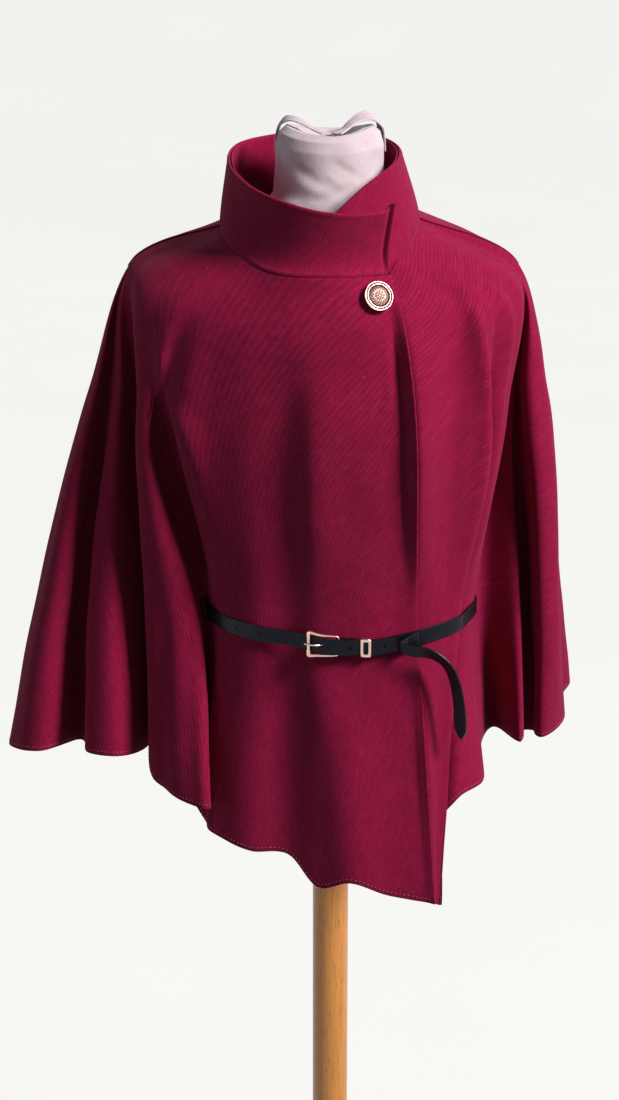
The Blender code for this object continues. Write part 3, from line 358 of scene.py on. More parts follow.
def neck_point(angle, lift=0.0):
    """A point of the neckline in metres. The hidden end lies inside the end that shows."""
    turn = math.radians(angle)
    way = min(1.0, max(0.0, (angle - LAP_START) / (LAP_END - LAP_START)))
    lap = NECK_LAP * (3 * way**2 - 2 * way**3)
    point = np.array((NECK_CENTRE[0] + NECK_HALF[0] * math.sin(turn),
                      NECK_CENTRE[1] - NECK_HALF[1] * math.cos(turn), winding(NECK_HEIGHTS, angle)[0] + lift))
    return (point - neck_away(angle) * lap) * MM


def yoke_height(x, y):
    """Height where the cape leaves the form: low on the chest, high at the shoulders and the back."""
    side = min(1.0, abs(x) / YOKE_HALF)
    ridge = min(1.0, max(0.0, 1 + y / YOKE_RIDGE_HALF))
    return YOKE_LOW + YOKE_RISE * (1 if y > 0 else side * side) + YOKE_RIDGE * ridge


def fold_line(row, places):
    """One fold line of the cape, at the given shares of the way down."""
    _, neck, yx, yy, cx, cy, bx, by, hx, hy, hz = row
    stations = np.array(((yx, yy, yoke_height(yx, yy)), (cx, cy, CHEST), (bx, by, BELT), (hx, hy, hz))) * MM
    return spline([neck_point(neck), *stations], STATIONS, places, ARRIVE, LEAVE)


def across_folds(lines, steps):
    """The grid [row][column] of a smooth cloth through fold lines."""
    lines = np.array(lines)
    grid = []
    for r in range(lines.shape[1]):
        gaps = np.sqrt(np.linalg.norm(np.diff(lines[:, r], axis=0), axis=1))
        knots = np.concatenate(([0], np.cumsum(gaps)))
        grid.append(spline(lines[:, r], knots, np.interp(np.arange((len(lines) - 1) * steps + 1) / steps,
                                                         np.arange(len(lines)), knots)))
    return np.array(grid)


def outward(grid):
    """Unit normals of a grid whose columns run round from the front edge and whose rows run down."""
    return unit(np.cross(np.gradient(grid, axis=1), np.gradient(grid, axis=0)))


def crease_depths(grid, rows):
    """How far one crease moves each point of the grid along its normal, in metres."""
    table = np.array(rows, float)
    within = places[(places >= table[0, 0]) & (places <= table[-1, 0])]
    read = spline(table[:, 1:], table[:, 0], within)
    depth = np.zeros(grid.shape[:2])
    first = int(np.argmax(places >= table[0, 0]))
    across = run_along(grid, axis=1)
    for k, (line, height, near, far) in enumerate(read):
        r = first + k
        away = across[r] - np.interp(line * FINE, np.arange(grid.shape[1]), across[r])
        reach = np.where(away < 0, near, far) * MM
        depth[r] = height * MM * np.exp(-(away / reach) ** 2)
    return depth


places = np.interp(np.arange((len(ROWS) - 1) * FINE + 1) / FINE, np.arange(len(ROWS)), ROWS)
shown = across_folds([fold_line(row, places) for row in (*RIGHT_FRONT, *BACK, *LEFT_FRONT)], FINE)
normals = outward(shown)
moved = sum(crease_depths(shown, rows) for rows in CREASES.values())
waves = sum(np.sin(shown @ np.array(way) * 2 * math.pi + start) for way, start in RIPPLE_WAVES)
held = np.clip(places / STATIONS[1], 0, 1)[:, None]
shown = shown + normals * (moved + waves * RIPPLE / len(RIPPLE_WAVES) * MM * held)[..., None]
normals = outward(shown)
at_neck = np.clip(1 - places / STATIONS[1], 0, 1)[:, None, None]
sink = (UNDERLAP_SINK + (NECK_LAP - UNDERLAP_SINK) * at_neck) * MM
sunk = (shown - normals * sink)[:, :UNDERLAP_LINES * FINE + 1]
last_lines = np.moveaxis(shown[:, [-2 * FINE - 1, -FINE - 1, -1]], 1, 0)
first_sunk = np.moveaxis(sunk[:, [0, FINE]], 1, 0)
bridge = across_folds([*last_lines, *first_sunk], FINE)[:, 2 * FINE + 1:3 * FINE]
cape = np.concatenate((shown, bridge, sunk), axis=1)
right_seam = (len(RIGHT_FRONT) - 1) * FINE
left_seam = (len(RIGHT_FRONT) + len(BACK)) * FINE
pocket = [row[0] for row in RIGHT_FRONT].index("pocket") * FINE
left_slit_edge = [row[0] for row in LEFT_FRONT].index("flute_2_side") * FINE


def wool_twill():
    """Thick woollen twill, woven in diagonal ribs and lightly milled: the nap scatters light at grazing
    angles and pale kemp hairs show as specks. The map cloth_grain is the flat cut in metres."""
    material, shader = blank("wool_twill")
    grain = add(material, "UVMap", uv_map="cloth_grain")
    leaning = add(material, "VectorRotate", {"Vector": (grain, "UV"),
                  "Angle": math.radians(RIB_LEAN)}, rotation_type="Z_AXIS")
    ribs = add(material, "TexWave", {"Vector": (leaning, "Vector"), "Scale": WAVE / (RIB * MM),
               "Distortion": 1.6, "Detail": 2.0, "Detail Scale": 2.0, "Detail Roughness": 0.6},
               wave_type="BANDS", bands_direction="X", wave_profile="SIN")
    # The ribs are broken into short floats, about three times as long as they are wide
    floats = add(material, "Mapping", {"Vector": (leaning, "Vector"), "Scale": (1.0, 0.34, 1.0)})
    yarns = add(material, "TexNoise", {"Vector": (floats, "Vector"), "Scale": 0.8 / (RIB * MM),
                "Detail": 2.0, "Roughness": 0.6})
    fuzz = add(material, "TexNoise", {"Vector": (grain, "UV"), "Scale": FUZZ, "Detail": 3.0,
               "Roughness": 0.7})
    cloud = add(material, "TexNoise", {"Vector": (grain, "UV"), "Scale": CLOUDS, "Detail": 3.0,
                "Roughness": 0.6})
    specks = add(material, "TexNoise", {"Vector": (grain, "UV"), "Scale": SPECKS, "Detail": 1.0})
    speck = add(material, "MapRange", {"Value": (specks, "Fac"), "From Min": 0.765,
                "From Max": 0.83})
    weave = add(material, "Math", {0: (ribs, "Fac"), 1: 0.32, 2: (yarns, "Fac")},
                operation="MULTIPLY_ADD")
    height = add(material, "Math", {0: (fuzz, "Fac"), 1: 0.55, 2: (weave, "Value")},
                 operation="MULTIPLY_ADD")
    # The colour is darker where the weave lies low. This is painted shade in the grooves between the ribs,
    # mixed with the fibres' own uneven tone.
    groove_shade_and_fibre_tone = add(material, "MapRange", {"Value": (height, "Value"), "From Min": 0.46,
               "From Max": 1.38})
    body = add(material, "Mix", {"Factor": (groove_shade_and_fibre_tone, "Result"), "A": linear("#600629"),
               "B": linear("#A81E4E")}, data_type="RGBA")
    clouded = add(material, "Mix", {"Factor": (cloud, "Fac"), "A": (body, "Result"),
                  "B": linear("#7A0A32")}, data_type="RGBA")
    flecked = add(material, "Mix", {"Factor": (speck, "Result"), "A": (clouded, "Result"),
                  "B": linear("#CE7896")}, data_type="RGBA")
    bump = add(material, "Bump", {"Height": (height, "Value"), "Distance": 0.35 * MM,
               "Strength": 0.8})
    feed(shader, {"Base Color": (flecked, "Result"), "Normal": (bump, "Normal"), "Roughness": 0.92,
                  "Specular IOR Level": 0.07, "Sheen Weight": 0.23, "Sheen Roughness": 0.45,
                  "Sheen Tint": linear("#DE7A9E")})
    return material


def flat_cut(grid, straight):
    """Each point's place on the flat cloth in metres. The panel is part of a ring, so rows become arcs and
    columns become spokes. Straight is the share of the way across it where the straight grain runs down."""
    down = run_along(grid)
    reach = FLAT_NECK + down
    steps = np.linalg.norm(np.diff(grid, axis=1), axis=2) / reach.mean(axis=1)[:, None]
    turn = np.concatenate(([0], np.cumsum(steps[len(grid) // 3:].mean(axis=0))))
    turn = turn - turn[-1] * straight
    return np.stack((reach * np.sin(turn), -reach * np.cos(turn)), axis=2)


def point_map(item, name, values):
    """A UV map in which every corner has the value of its point."""
    corners = np.empty(len(item.data.loops), int)
    item.data.loops.foreach_get("vertex_index", corners)
    spots = np.asarray(values)[corners].astype(np.float32)
    item.data.uv_layers.new(name=name).data.foreach_set("uv", spots.ravel())


def shell(name, outer, thick, material, cut, holes=()):
    """A cloth of even thickness under a grid of points, with a rounded edge all round. Cells in holes are
    left open. Cut gives each point's place on the flat cloth."""
    rows, columns = outer.shape[:2]
    normal = outward(outer)
    inner = outer - normal * thick
    points = list(outer.reshape(-1, 3)) + list(inner.reshape(-1, 3))
    flat = list(cut.reshape(-1, 2)) * 2
    half = rows * columns
    cells = {(r, c) for r in range(rows - 1) for c in range(columns - 1)} - set(holes)
    faces = []
    for r, c in sorted(cells):
        corners = [r * columns + c, r * columns + c + 1, (r + 1) * columns + c + 1, (r + 1) * columns + c]
        faces.append(corners)
        faces.append([half + k for k in reversed(corners)])
        beside = ((r - 1, c), (r, c + 1), (r + 1, c), (r, c - 1))
        for k, (nr, nc) in enumerate(beside):
            if (nr, nc) not in cells and 0 <= nr < rows - 1 and 0 <= nc < columns - 1:
                a, b = corners[k], corners[(k + 1) % 4]
                faces.append([b, a, half + a, half + b])
    border = [(0, c) for c in range(columns)] + [(r, columns - 1) for r in range(1, rows)]
    border += [(rows - 1, c) for c in range(columns - 2, -1, -1)] + [(r, 0) for r in range(rows - 2, 0, -1)]
    edge = np.array([outer[k] for k in border])
    edge_normal = np.array([normal[k] for k in border])
    along = unit(np.roll(edge, -1, axis=0) - np.roll(edge, 1, axis=0))
    away = unit(np.cross(along, edge_normal))
    inside = np.array([outer[np.clip(r, 1, rows - 2), np.clip(c, 1, columns - 2)] for r, c in border])
    away *= np.sign(np.sum(away * (edge - inside), axis=1))[:, None]
    rim = [[r * columns + c for r, c in border]]
    for turn in EDGE_TURNS:
        a = math.radians(turn)
        ring = edge + away * thick / 2 * math.sin(a) - edge_normal * thick / 2 * (1 - math.cos(a))
        rim.append(list(range(len(points), len(points) + len(border))))
        points.extend(ring)
        flat.extend([flat[r * columns + c] for r, c in border])
    rim.append([half + k for k in rim[0]])
    for high, low in zip(rim[:-1], rim[1:]):
        for k in range(len(border)):
            j = (k + 1) % len(border)
            faces.append([high[j], high[k], low[k], low[j]])
    item = mesh_piece(name, points, faces, material)
    point_map(item, "cloth_grain", flat)
    return item


twill = wool_twill()
slit_top, slit_bottom = (ROWS.index(share) * FINE for share in SLIT_ROWS)
right_slit = {(r, c) for r in range(slit_top + 2, slit_bottom)
              for c in range(pocket - FINE // 2, pocket + FINE // 2)}
left_slit = {(r, c) for r in range(slit_top + 1, slit_bottom - 1)
             for c in range(left_slit_edge, left_slit_edge + FINE // 2)}
PANELS = (                 # name, first and last column, where the straight grain lies, slit, flat size and
    # area, and the node of the frame
    ("right_front", 0, right_seam, 0, right_slit, (0.62, 0.72), 0.32, "cape_front_right"),
    ("back", right_seam, left_seam, 0.5, (), (0.86, 0.68), 0.36, "cape_back"),
    ("left_front", left_seam, cape.shape[1] - 1, 1, left_slit, (0.50, 0.70), 0.21, "cape_front_left"),
)
for name, first, last, straight, slit, size, area, node in PANELS:
    panel = cape[:, first:last + 1].copy()
    if first:
        panel[:, 0] += unit(panel[:, 1] - panel[:, 0]) * SEAM_BACK
    if last < cape.shape[1] - 1:
        panel[:, -1] += unit(panel[:, -2] - panel[:, -1]) * SEAM_BACK
    piece = shell(name + "_cloth", panel, CLOTH, twill, flat_cut(panel, straight), slit)
    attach(piece, "root")
    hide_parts(node)

# The stand collar: one strip of doubled twill, sewn to the neckline, that winds once round the neck. Its
# outer end stands free at the wearer's left, and its hidden end lies inside.
UP = np.array((0.0, 0.0, 1.0))
COLLAR_THICK = 5.2
COLLAR_TOP = (             # the rim, from the end that shows to the hidden one: angle and place
    (40, 57, -93, 1373.5), (31, 44, -103, 1370.5), (20, 26, -112, 1370), (0, -10, -119, 1373),
    (-20, -44.5, -112, 1381), (-40, -75, -89, 1391), (-60, -93, -55, 1401), (-80, -98.5, -19, 1409),
    (-100, -98, 13, 1414), (-130, -80, 54, 1419), (-155, -48, 79, 1422), (-180, -13, 87, 1424),
    (-205, 20, 80, 1423), (-230, 48, 57, 1421), (-250, 60, 30, 1418), (-270, 65, -3, 1414),
    (-290, 60, -36, 1408), (-310, 47, -63, 1401), (-330, 26, -80, 1388), (-345, 9, -88, 1374),
    (-352, 1, -90.5, 1367))
COLLAR_ENDS = (40, -352)   # its angles on the neckline
COLLAR_STEPS = 384
END_STEPS, END_STEP = 36, 0.22         # finer steps at the end that shows, in degrees
# Round the collar's section: share of the height, and depth below the outer face, in millimetres. The rim is
# two turned edges with a groove between them.
COLLAR_SECTION = (
    (0, 0), (.05, 0), (.1, 0), (.16, 0), (.22, 0), (.3, 0), (.38, 0), (.46, 0), (.54, 0), (.62, 0), (.7, 0),
    (.78, 0), (.86, 0), (.915, 0), (.93, -.2), (.96, -.4), (.985, 0), (1, .9), (.998, 1.8), (.97, 2.5),
    (.945, 2.8), (.945, 3.1), (.975, 3.4), (.99, 3.9), (.985, 4.6), (.96, 5.1), (.9, 5.2), (.7, 5.2),
    (.45, 5.2), (.2, 5.2), (0, 5.2))
COLLAR_BULGE = 1.6         # at the sides and the back
COLLAR_HOLLOW = 8.6        # at the front
FRONT_REACH = 52           # how far round that hollow reaches, in degrees
COLLAR_LIFT = 0.45         # how far over the neckline it starts
END_TROUGH, END_TROUGH_PLACE, END_TROUGH_REACH = 3.4, 7.5, 3.6
END_ROLL, END_ROLL_REACH = 2.0, 2.6
END_CORNER, END_CORNER_REACH = 4.5, 5.0
END_ROUND = 2.4            # how far from the end its edge starts to round over
COLLAR_WAVE, COLLAR_WAVE_SPAN = 0.35, 7.0      # how far the face wanders, and over how many degrees
# How much lower the hidden end is sewn in, and from which angle and over how many degrees
TUCK, TUCK_START, TUCK_SPAN = 5.5, -296, 14


def collar_face(angle, share, from_end):
    """How far the collar's outer face stands off the straight line from its seam to its rim."""
    from_front = min(abs(angle + 2), abs(angle + 362))
    at_front = math.exp(-(from_front / FRONT_REACH) ** 4)
    belly = math.sin(math.pi * min(1, share) ** 0.56)
    face = belly * (COLLAR_BULGE * (1 - at_front) - COLLAR_HOLLOW * at_front)
    trough = math.exp(-((from_end - END_TROUGH_PLACE) / END_TROUGH_REACH) ** 2)
    face -= END_TROUGH * trough * min(1, share * 4)
    face += END_ROLL * math.exp(-(from_end / END_ROLL_REACH) ** 2)
    return face + COLLAR_WAVE * math.sin(angle / COLLAR_WAVE_SPAN) * share


def collar_grid():
    """The collar's section carried along the neckline, [place along][place round the section], and its flat
    places: the outer layer, and the inner one that is cut across the grain."""
    near_end = COLLAR_ENDS[0] - END_STEPS * END_STEP
    angles = np.concatenate((np.arange(END_STEPS) * -END_STEP + COLLAR_ENDS[0],
                             np.linspace(near_end, COLLAR_ENDS[1], COLLAR_STEPS + 1)))
    points, flat, along = [], [], 0.0
    for k, angle in enumerate(angles):
        away = neck_away(angle)
        tucked = min(1.0, max(0.0, (TUCK_START - angle) / TUCK_SPAN))
        low, high = neck_point(angle, COLLAR_LIFT - TUCK * tucked), winding(COLLAR_TOP, angle) * MM
        end = along / MM
        high = high + UP * END_CORNER * MM * math.exp(-(end / END_CORNER_REACH) ** 2)
        near = min(1.0, (end + 0.05) / END_ROUND)
        slim = math.sqrt(1 - (1 - near) ** 2)
        ring = []
        for share, depth in COLLAR_SECTION:
            out = collar_face(angle, share, end) - COLLAR_THICK / 2 + (COLLAR_THICK / 2 - depth) * slim
            ring.append(low + (high - low) * share + away * out * MM)
        if points:
            along += float(np.linalg.norm(ring[6] - points[-1][6]))
        flat.append([(along, climb) for climb in run_along(ring)])
        points.append(ring)
    return np.array(points), np.array(flat)


ring_points, ring_flat = collar_grid()
count, around = ring_points.shape[:2]
faces = [face[::-1] for face in tube_faces(count, around)]
collar = mesh_piece("stand_collar", ring_points.reshape(-1, 3), faces, twill)
grain = collar.data.uv_layers.new(name="cloth_grain")
flat = ring_flat.reshape(-1, 2)
# The inner layer is cut across the grain of the outer one
inner_start = next(i for i, row in enumerate(COLLAR_SECTION) if row[1] > 2.5)
cross_cut = math.radians(33)
for polygon in collar.data.polygons:
    for loop in polygon.loop_indices:
        vertex = collar.data.loops[loop].vertex_index
        a, c = flat[vertex]
        if min(v % around for v in polygon.vertices) >= inner_start:
            a, c = (a * math.cos(cross_cut) - c * math.sin(cross_cut),
                    a * math.sin(cross_cut) + c * math.cos(cross_cut))
        grain.data[loop].uv = (a, c)
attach(collar, "root")
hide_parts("collar")

# The dress form: a solid torso and neck under a stretched cotton jersey cover. Sections from the lower end
# up, in millimetres: height, middle, half width and depth, squareness, and how much its sides rise.
FORM_SECTIONS = (
    (800, 0, 4, 118, 88, 2.2, 0), (806, 0, 4, 126, 95, 2.2, 0), (840, 0, 3, 135, 104, 2.2, 0),
    (880, 0, 1, 136, 107, 2.2, 0), (925, 0, -6, 124, 102, 2.2, 0), (965, 0, -11, 114, 96, 2.2, 0),
    (1020, 0, -10, 122, 102, 2.2, 0), (1090, -1, -7, 142, 112, 2.2, 0), (1150, -2, -5, 156, 118, 2.2, 0),
    (1205, -3, -1, 164, 114, 2.3, 0), (1250, -5, 5, 180, 107, 2.4, 0), (1278, -6, 3, 188, 102, 2.2, 0),
    (1298, -10, 1, 179, 96, 2.2, 0), (1314, -12, 1, 153, 89, 2.1, 0), (1328, -11, 6, 122, 83, 2.1, 0),
    (1341, -10, 3, 84, 72, 2, 0), (1356, -6, 1, 64, 60, 2, 0), (1375, -3, 0, 54, 54, 2, 0),
    (1400, -3, 0, 51.5, 50, 2, 0), (1416, -3, 0, 51.5, 49, 2, 4), (1426, -3, 0, 48, 46, 2, 6),
    (1431, -3, 0, 41, 39, 2, 7), (1430, -3, 0, 31, 29, 2, 5), (1426, -3, 0, 20, 19, 2, 3),
    (1424, -3, 0, 10, 10, 2, 1), (1423.5, -3, 0, 0.3, 0.3, 2, 0))
FORM_STEPS = 180
FORM_FINE = 8
NECK_COVER_FOOT = 1345
NECK_DEGREE = 0.9          # how many millimetres a degree is on the neck
WALE, STAINS = 1.2, 38     # from wale to wale of the knit in millimetres, and grey patches to the metre


def form_point(angle, row):
    """A point of the cover at an angle from the front on one section, in metres."""
    z, x, y, half_width, half_depth, power, rise = row
    s, c = math.sin(math.radians(angle)), math.cos(math.radians(angle))
    return np.array((x + half_width * math.copysign(abs(s) ** (2 / power), s),
                     y - half_depth * math.copysign(abs(c) ** (2 / power), c), z + rise * s * s)) * MM


# Crumples of the cover at the neck: angle from the front and height of each end, depth, and reach
NECK_CRUMPLES = (
    (-38, 1402, -8, 1388, -1.4, 5), (-30, 1388, 6, 1376, 1.2, 5), (4, 1408, 34, 1392, -1.2, 4),
    (-14, 1374, 22, 1384, -1.3, 4), (12, 1366, 40, 1380, 1.0, 4), (-58, 1376, -26, 1364, 1.1, 5),
    (-4, 1398, 14, 1386, 0.9, 3), (-24, 1366, -4, 1358, -1.0, 4), (100, 1402, 140, 1384, -1.3, 5),
    (160, 1376, 200, 1394, -1.4, 5), (-150, 1396, -110, 1380, 1.1, 5))


def crumple(angle, height):
    """How far the neck's cover stands out there, in millimetres."""
    lift = 0.0
    for a0, z0, a1, z1, depth, reach in NECK_CRUMPLES:
        start, end = np.array((a0 * NECK_DEGREE, z0)), np.array((a1 * NECK_DEGREE, z1))
        spot = np.array(((angle if abs(angle - a0) < 180 else angle - 360) * NECK_DEGREE, height))
        share = min(1.0, max(0.0, float((spot - start) @ (end - start) / ((end - start) @ (end - start)))))
        gap = np.linalg.norm(spot - start - (end - start) * share)
        lift += depth * math.exp(-(gap / reach) ** 2) * math.sin(math.pi * (0.15 + 0.7 * share))
    return lift


def cotton_jersey():
    """Knitted cotton jersey, white and a little aged: matt, with fine knit wales and soft grey shading in its
    creases."""
    material, shader = blank("cotton_jersey")
    place = add(material, "TexCoord")
    wales = add(material, "TexWave", {"Vector": (place, "Object"), "Scale": WAVE / (WALE * MM),
                "Distortion": 5.0, "Detail": 3.0}, bands_direction="X")
    cloud = add(material, "TexNoise", {"Vector": (place, "Object"), "Scale": STAINS, "Detail": 3.0,
                "Distortion": 0.3})
    stain = add(material, "MapRange", {"Value": (cloud, "Fac"), "From Min": 0.25, "From Max": 0.70})
    tint = add(material, "Mix", {"Factor": (stain, "Result"), "A": linear("#BBA9AC"),
               "B": linear("#CAC3CE")}, data_type="RGBA")
    height = add(material, "Math", {0: (wales, "Fac"), 1: 0.05, 2: (cloud, "Fac")},
                 operation="MULTIPLY_ADD")
    bump = add(material, "Bump", {"Height": (height, "Value"), "Distance": 2.4 * MM,
               "Strength": 0.4})
    feed(shader, {"Base Color": (tint, "Result"), "Normal": (bump, "Normal"), "Roughness": 0.85,
                  "Sheen Weight": 0.2})
    return material


sections = np.array(FORM_SECTIONS, float)
read = np.arange((len(sections) - 1) * FORM_FINE + 1) / FORM_FINE
rows = np.stack([np.interp(read, range(len(sections)), column) for column in sections.T], axis=1)
points = []
for row in rows:
    for turn in np.arange(FORM_STEPS) * 360 / FORM_STEPS:
        angle = turn if turn < 180 else turn - 360
        lift = crumple(angle, row[0]) if row[0] > NECK_COVER_FOOT else 0.0
        away = np.array((math.sin(math.radians(turn)), -math.cos(math.radians(turn)), 0))
        points.append(form_point(turn, row) + away * lift * MM)
jersey = cotton_jersey()
form = mesh_piece("form_cover", points, tube_faces(len(rows), FORM_STEPS), jersey)
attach(form, "root")
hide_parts("form_body")

# The cover's bands, which lie over the neck's top. Each has a width, how far its rear edge stands up, and a
# route: angle from the front, way out from the middle of the top over the rim, and lift, in millimetres.
BANDS = (
    ("left_band", "neck_fold_left", 11, 5.0, (
        (-6, 2.3, 0.8), (-34, 1.7, 3.0), (-62, 1.8, 4.5), (-86, 2.5, 3.8), (-99, 3.4, 1.6), (-105, 4.3, 0.7),
        (-108, 5.3, 0.6))),
    ("right_band", "neck_fold_right", 19, 8.0, (
        (8, 2.1, 0.5), (34, 1.6, 3.5), (60, 1.7, 6), (86, 2.4, 5.0), (100, 3.4, 2.0), (107, 4.3, 0.8),
        (110, 5.3, 0.6))),
)
BAND_STEPS, BAND_ACROSS, BAND_THICK = 72, 14, 1.5
BAND_CROWN, BAND_PLEAT = 0.9, 0.45
BAND_STANDS = (0.08, 0.72)     # the part of a half wave along which its rear edge stands up


def neck_surface(angle, way_out):
    """A point of the cover: way_out runs from the middle of the neck's top over its rim and down its side."""
    table = sections[-2::-1]
    return form_point(angle, [float(np.interp(way_out, range(len(table)), column)) for column in table.T])


for name, node, width, rear_rise, route in BANDS:
    spots, ups = [], []
    for angle, way_out, lift in route:
        around = neck_surface(angle + 2, way_out) - neck_surface(angle - 2, way_out)
        down = neck_surface(angle, way_out + 0.2) - neck_surface(angle, way_out - 0.2)
        ups.append(unit(np.cross(down, around)))
        spots.append(neck_surface(angle, way_out) + ups[-1] * lift * MM)
    knots = run_along(spots)
    along = np.linspace(0, knots[-1], BAND_STEPS + 1)
    middle, up = spline(spots, knots, along), unit(spline(ups, knots, along))
    across = unit(np.cross(up, np.gradient(middle, axis=0)))
    rearward = np.sign(across[BAND_STEPS // 3][1])
    share = np.linspace(-1, 1, BAND_ACROSS + 1)
    grid = middle[:, None] + across[:, None] * (share * width / 2 * MM)[None, :, None]
    arch = np.sin(math.pi * np.linspace(*BAND_STANDS, BAND_STEPS + 1)) ** 2
    stand = (0.5 + 0.5 * share * rearward) * rear_rise
    crown = BAND_CROWN * (1 - share ** 2) + BAND_PLEAT * np.sin(share * 7.0 + 1.0)
    grid = grid + up[:, None] * (crown * MM + BAND_THICK * MM)[None, :, None]
    grid = grid + UP * (arch[:, None] * stand[None, :] * MM)[..., None]
    if np.mean(np.sum(outward(grid) * up[:, None], axis=2)) < 0:
        grid = grid[:, ::-1]
    band = shell(name, grid, BAND_THICK * MM, jersey, grid[..., :2])
    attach(band, "root")
    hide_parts(node)


# The stand: a turned beech pole let into the form and into a round beech base, under clear satin lacquer.
# The base is 380 mm wide, with rounded edges and a low moulded rise round the pole.
def lacquered_beech():
    """Turned beech under satin lacquer: straight grain along the pole, short dark flecks, a soft gloss."""
    material, shader = blank("lacquered_beech")
    place = add(material, "TexCoord")
    long_grain = add(material, "Mapping", {"Vector": (place, "Object"), "Scale": (1.0, 1.0, 0.04)})
    rings = add(material, "TexNoise", {"Vector": (long_grain, "Vector"), "Scale": 260.0,
                "Detail": 5.0, "Roughness": 0.6, "Distortion": 0.4})
    flecks = add(material, "TexNoise", {"Vector": (long_grain, "Vector"), "Scale": 1400.0,
                 "Detail": 2.0})
    fleck = add(material, "MapRange", {"Value": (flecks, "Fac"), "From Min": 0.6, "From Max": 0.72})
    wood = add(material, "Mix", {"Factor": (rings, "Fac"), "A": linear("#C47A2C"),
               "B": linear("#EDA850")}, data_type="RGBA")
    ray = add(material, "Mix", {"Factor": (fleck, "Result"), "A": (wood, "Result"),
              "B": linear("#8A5226")}, data_type="RGBA")
    bump = add(material, "Bump", {"Height": (rings, "Fac"), "Distance": 0.15 * MM, "Strength": 0.4})
    feed(shader, {"Base Color": (ray, "Result"), "Normal": (bump, "Normal"), "Roughness": 0.42,
                  "Coat Weight": 0.3, "Coat Roughness": 0.25})
    return material


STAND_STEPS = 128
POLE_PROFILE = ((0.01, 10), (17.5, 10), (18.5, 11), (18.5, 200), (18.5, 420), (18.5, 640), (18.5, 838.7),
                (17.5, 839.7), (0.01, 839.7))
BASE_EDGE = [(184 + 6 * math.sin(a), 6 - 6 * math.cos(a)) for a in np.linspace(0, math.pi / 2, 8)]
BASE_TOP = [(184 + 6 * math.cos(a), 20 + 6 * math.sin(a)) for a in np.linspace(0, math.pi / 2, 8)]
BASE_RISE = [(64 - 4 * math.sin(a), 26 + 4 * (1 - math.cos(a))) for a in np.linspace(0, math.pi / 2, 6)]
BASE_PROFILE = [(0.01, 0), *BASE_EDGE, *BASE_TOP, (130, 27.6), *BASE_RISE, (58.5, 31.2), (54, 32.6),
                (47.5, 33.4), (43.5, 34.6), (40.8, 35.8), (38, 36), (18.8, 36), (18.8, 9.7), (0.01, 9.7)]
beech = lacquered_beech()
for name, node, profile in (("beech_pole", "stand_pole", POLE_PROFILE),
                            ("beech_base", "stand_base", BASE_PROFILE)):
    piece = mesh_piece(name, *turned([(r * MM, h * MM) for r, h in profile], STAND_STEPS), beech)
    piece.data.set_sharp_from_angle(angle=math.radians(35))
    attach(piece, "root")
    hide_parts(node)


# The belt: one strap of black leather, 15 mm wide, folded round the heel bar of a cast buckle and led back
# through it. Buckle, prong and keeper are zinc, plated in rose gold.
def grained_leather():
    """Black bridle leather with a printed fine grain, finished so that it takes a soft blue-grey light."""
    material, shader = blank("black_leather")
    place = add(material, "TexCoord")
    pores = add(material, "TexVoronoi", {"Vector": (place, "Object"), "Scale": 1 / (0.9 * MM)})
    bump = add(material, "Bump", {"Height": (pores, "Distance"), "Distance": 0.12 * MM, "Strength": 0.5})
    shade = add(material, "Mix", {"Factor": (pores, "Distance"), "A": linear("#131318"),
                "B": linear("#070709")}, data_type="RGBA")
    feed(shader, {"Base Color": (shade, "Result"), "Normal": (bump, "Normal"), "Roughness": 0.34,
                  "Specular IOR Level": 0.26, "Specular Tint": linear("#B4C6E0")})
    return material


def rose_gold(name="rose_gold_zinc"):
    """Cast zinc plated in rose gold, polished and lightly worn."""
    material, shader = blank(name)
    place = add(material, "TexCoord")
    wear = add(material, "TexNoise", {"Vector": (place, "Object"), "Scale": 400.0, "Detail": 3.0})
    rough = add(material, "MapRange", {"Value": (wear, "Fac"), "To Min": 0.20, "To Max": 0.40})
    colour = add(material, "Mix", {"Factor": (wear, "Fac"), "A": linear("#E8CCC0"),
                 "B": linear("#D2AC9D")}, data_type="RGBA")
    feed(shader, {"Base Color": (colour, "Result"), "Roughness": (rough, "Result"), "Metallic": 1.0})
    return material


def refined(name, node, material, levels, hard_angle=None, hardness=0.0):
    """A finer copy of a piece of the frame: its triangles are joined to four-sided faces and subdivided.
    Edges that turn more than hard_angle degrees stay hard."""
    form = bmesh.new()
    form.from_mesh(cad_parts[node].data)
    bmesh.ops.remove_doubles(form, verts=form.verts, dist=0.01 * MM)
    flat_enough = math.radians(40)
    bmesh.ops.join_triangles(form, faces=form.faces, angle_face_threshold=flat_enough,
                             angle_shape_threshold=flat_enough)
    crease = form.edges.layers.float.new("crease_edge")
    if hard_angle:
        for edge in form.edges:
            if edge.is_manifold and edge.calc_face_angle(0.0) > math.radians(hard_angle):
                edge[crease] = hardness
    mesh = bpy.data.meshes.new(name)
    form.to_mesh(mesh)
    form.free()
    mesh.materials.append(material)
    mesh.shade_smooth()
    item = bpy.data.objects.new(name, mesh)
    bpy.context.scene.collection.objects.link(item)
    finer = item.modifiers.new("finer", "SUBSURF")
    finer.levels = finer.render_levels = levels
    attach(item, "root")
    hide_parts(node)
    return item


leather = grained_leather()
metal = rose_gold()
for name, node, finish, levels, hard_angle, hardness, slot in (
        ("leather_strap", "belt_strap", leather, 3, 50, 0.75, "black_leather"),
        ("cast_frame", "buckle_frame", metal, 2, None, 0, "rose_gold_zinc"),
        ("prong", "buckle_prong", metal, 2, None, 0, "rose_gold_zinc"),
        ("strap_keeper", "belt_keeper", metal, 2, 40, 0.6, "rose_gold_zinc")):
    refined(name, node, finish, levels, hard_angle, hardness)

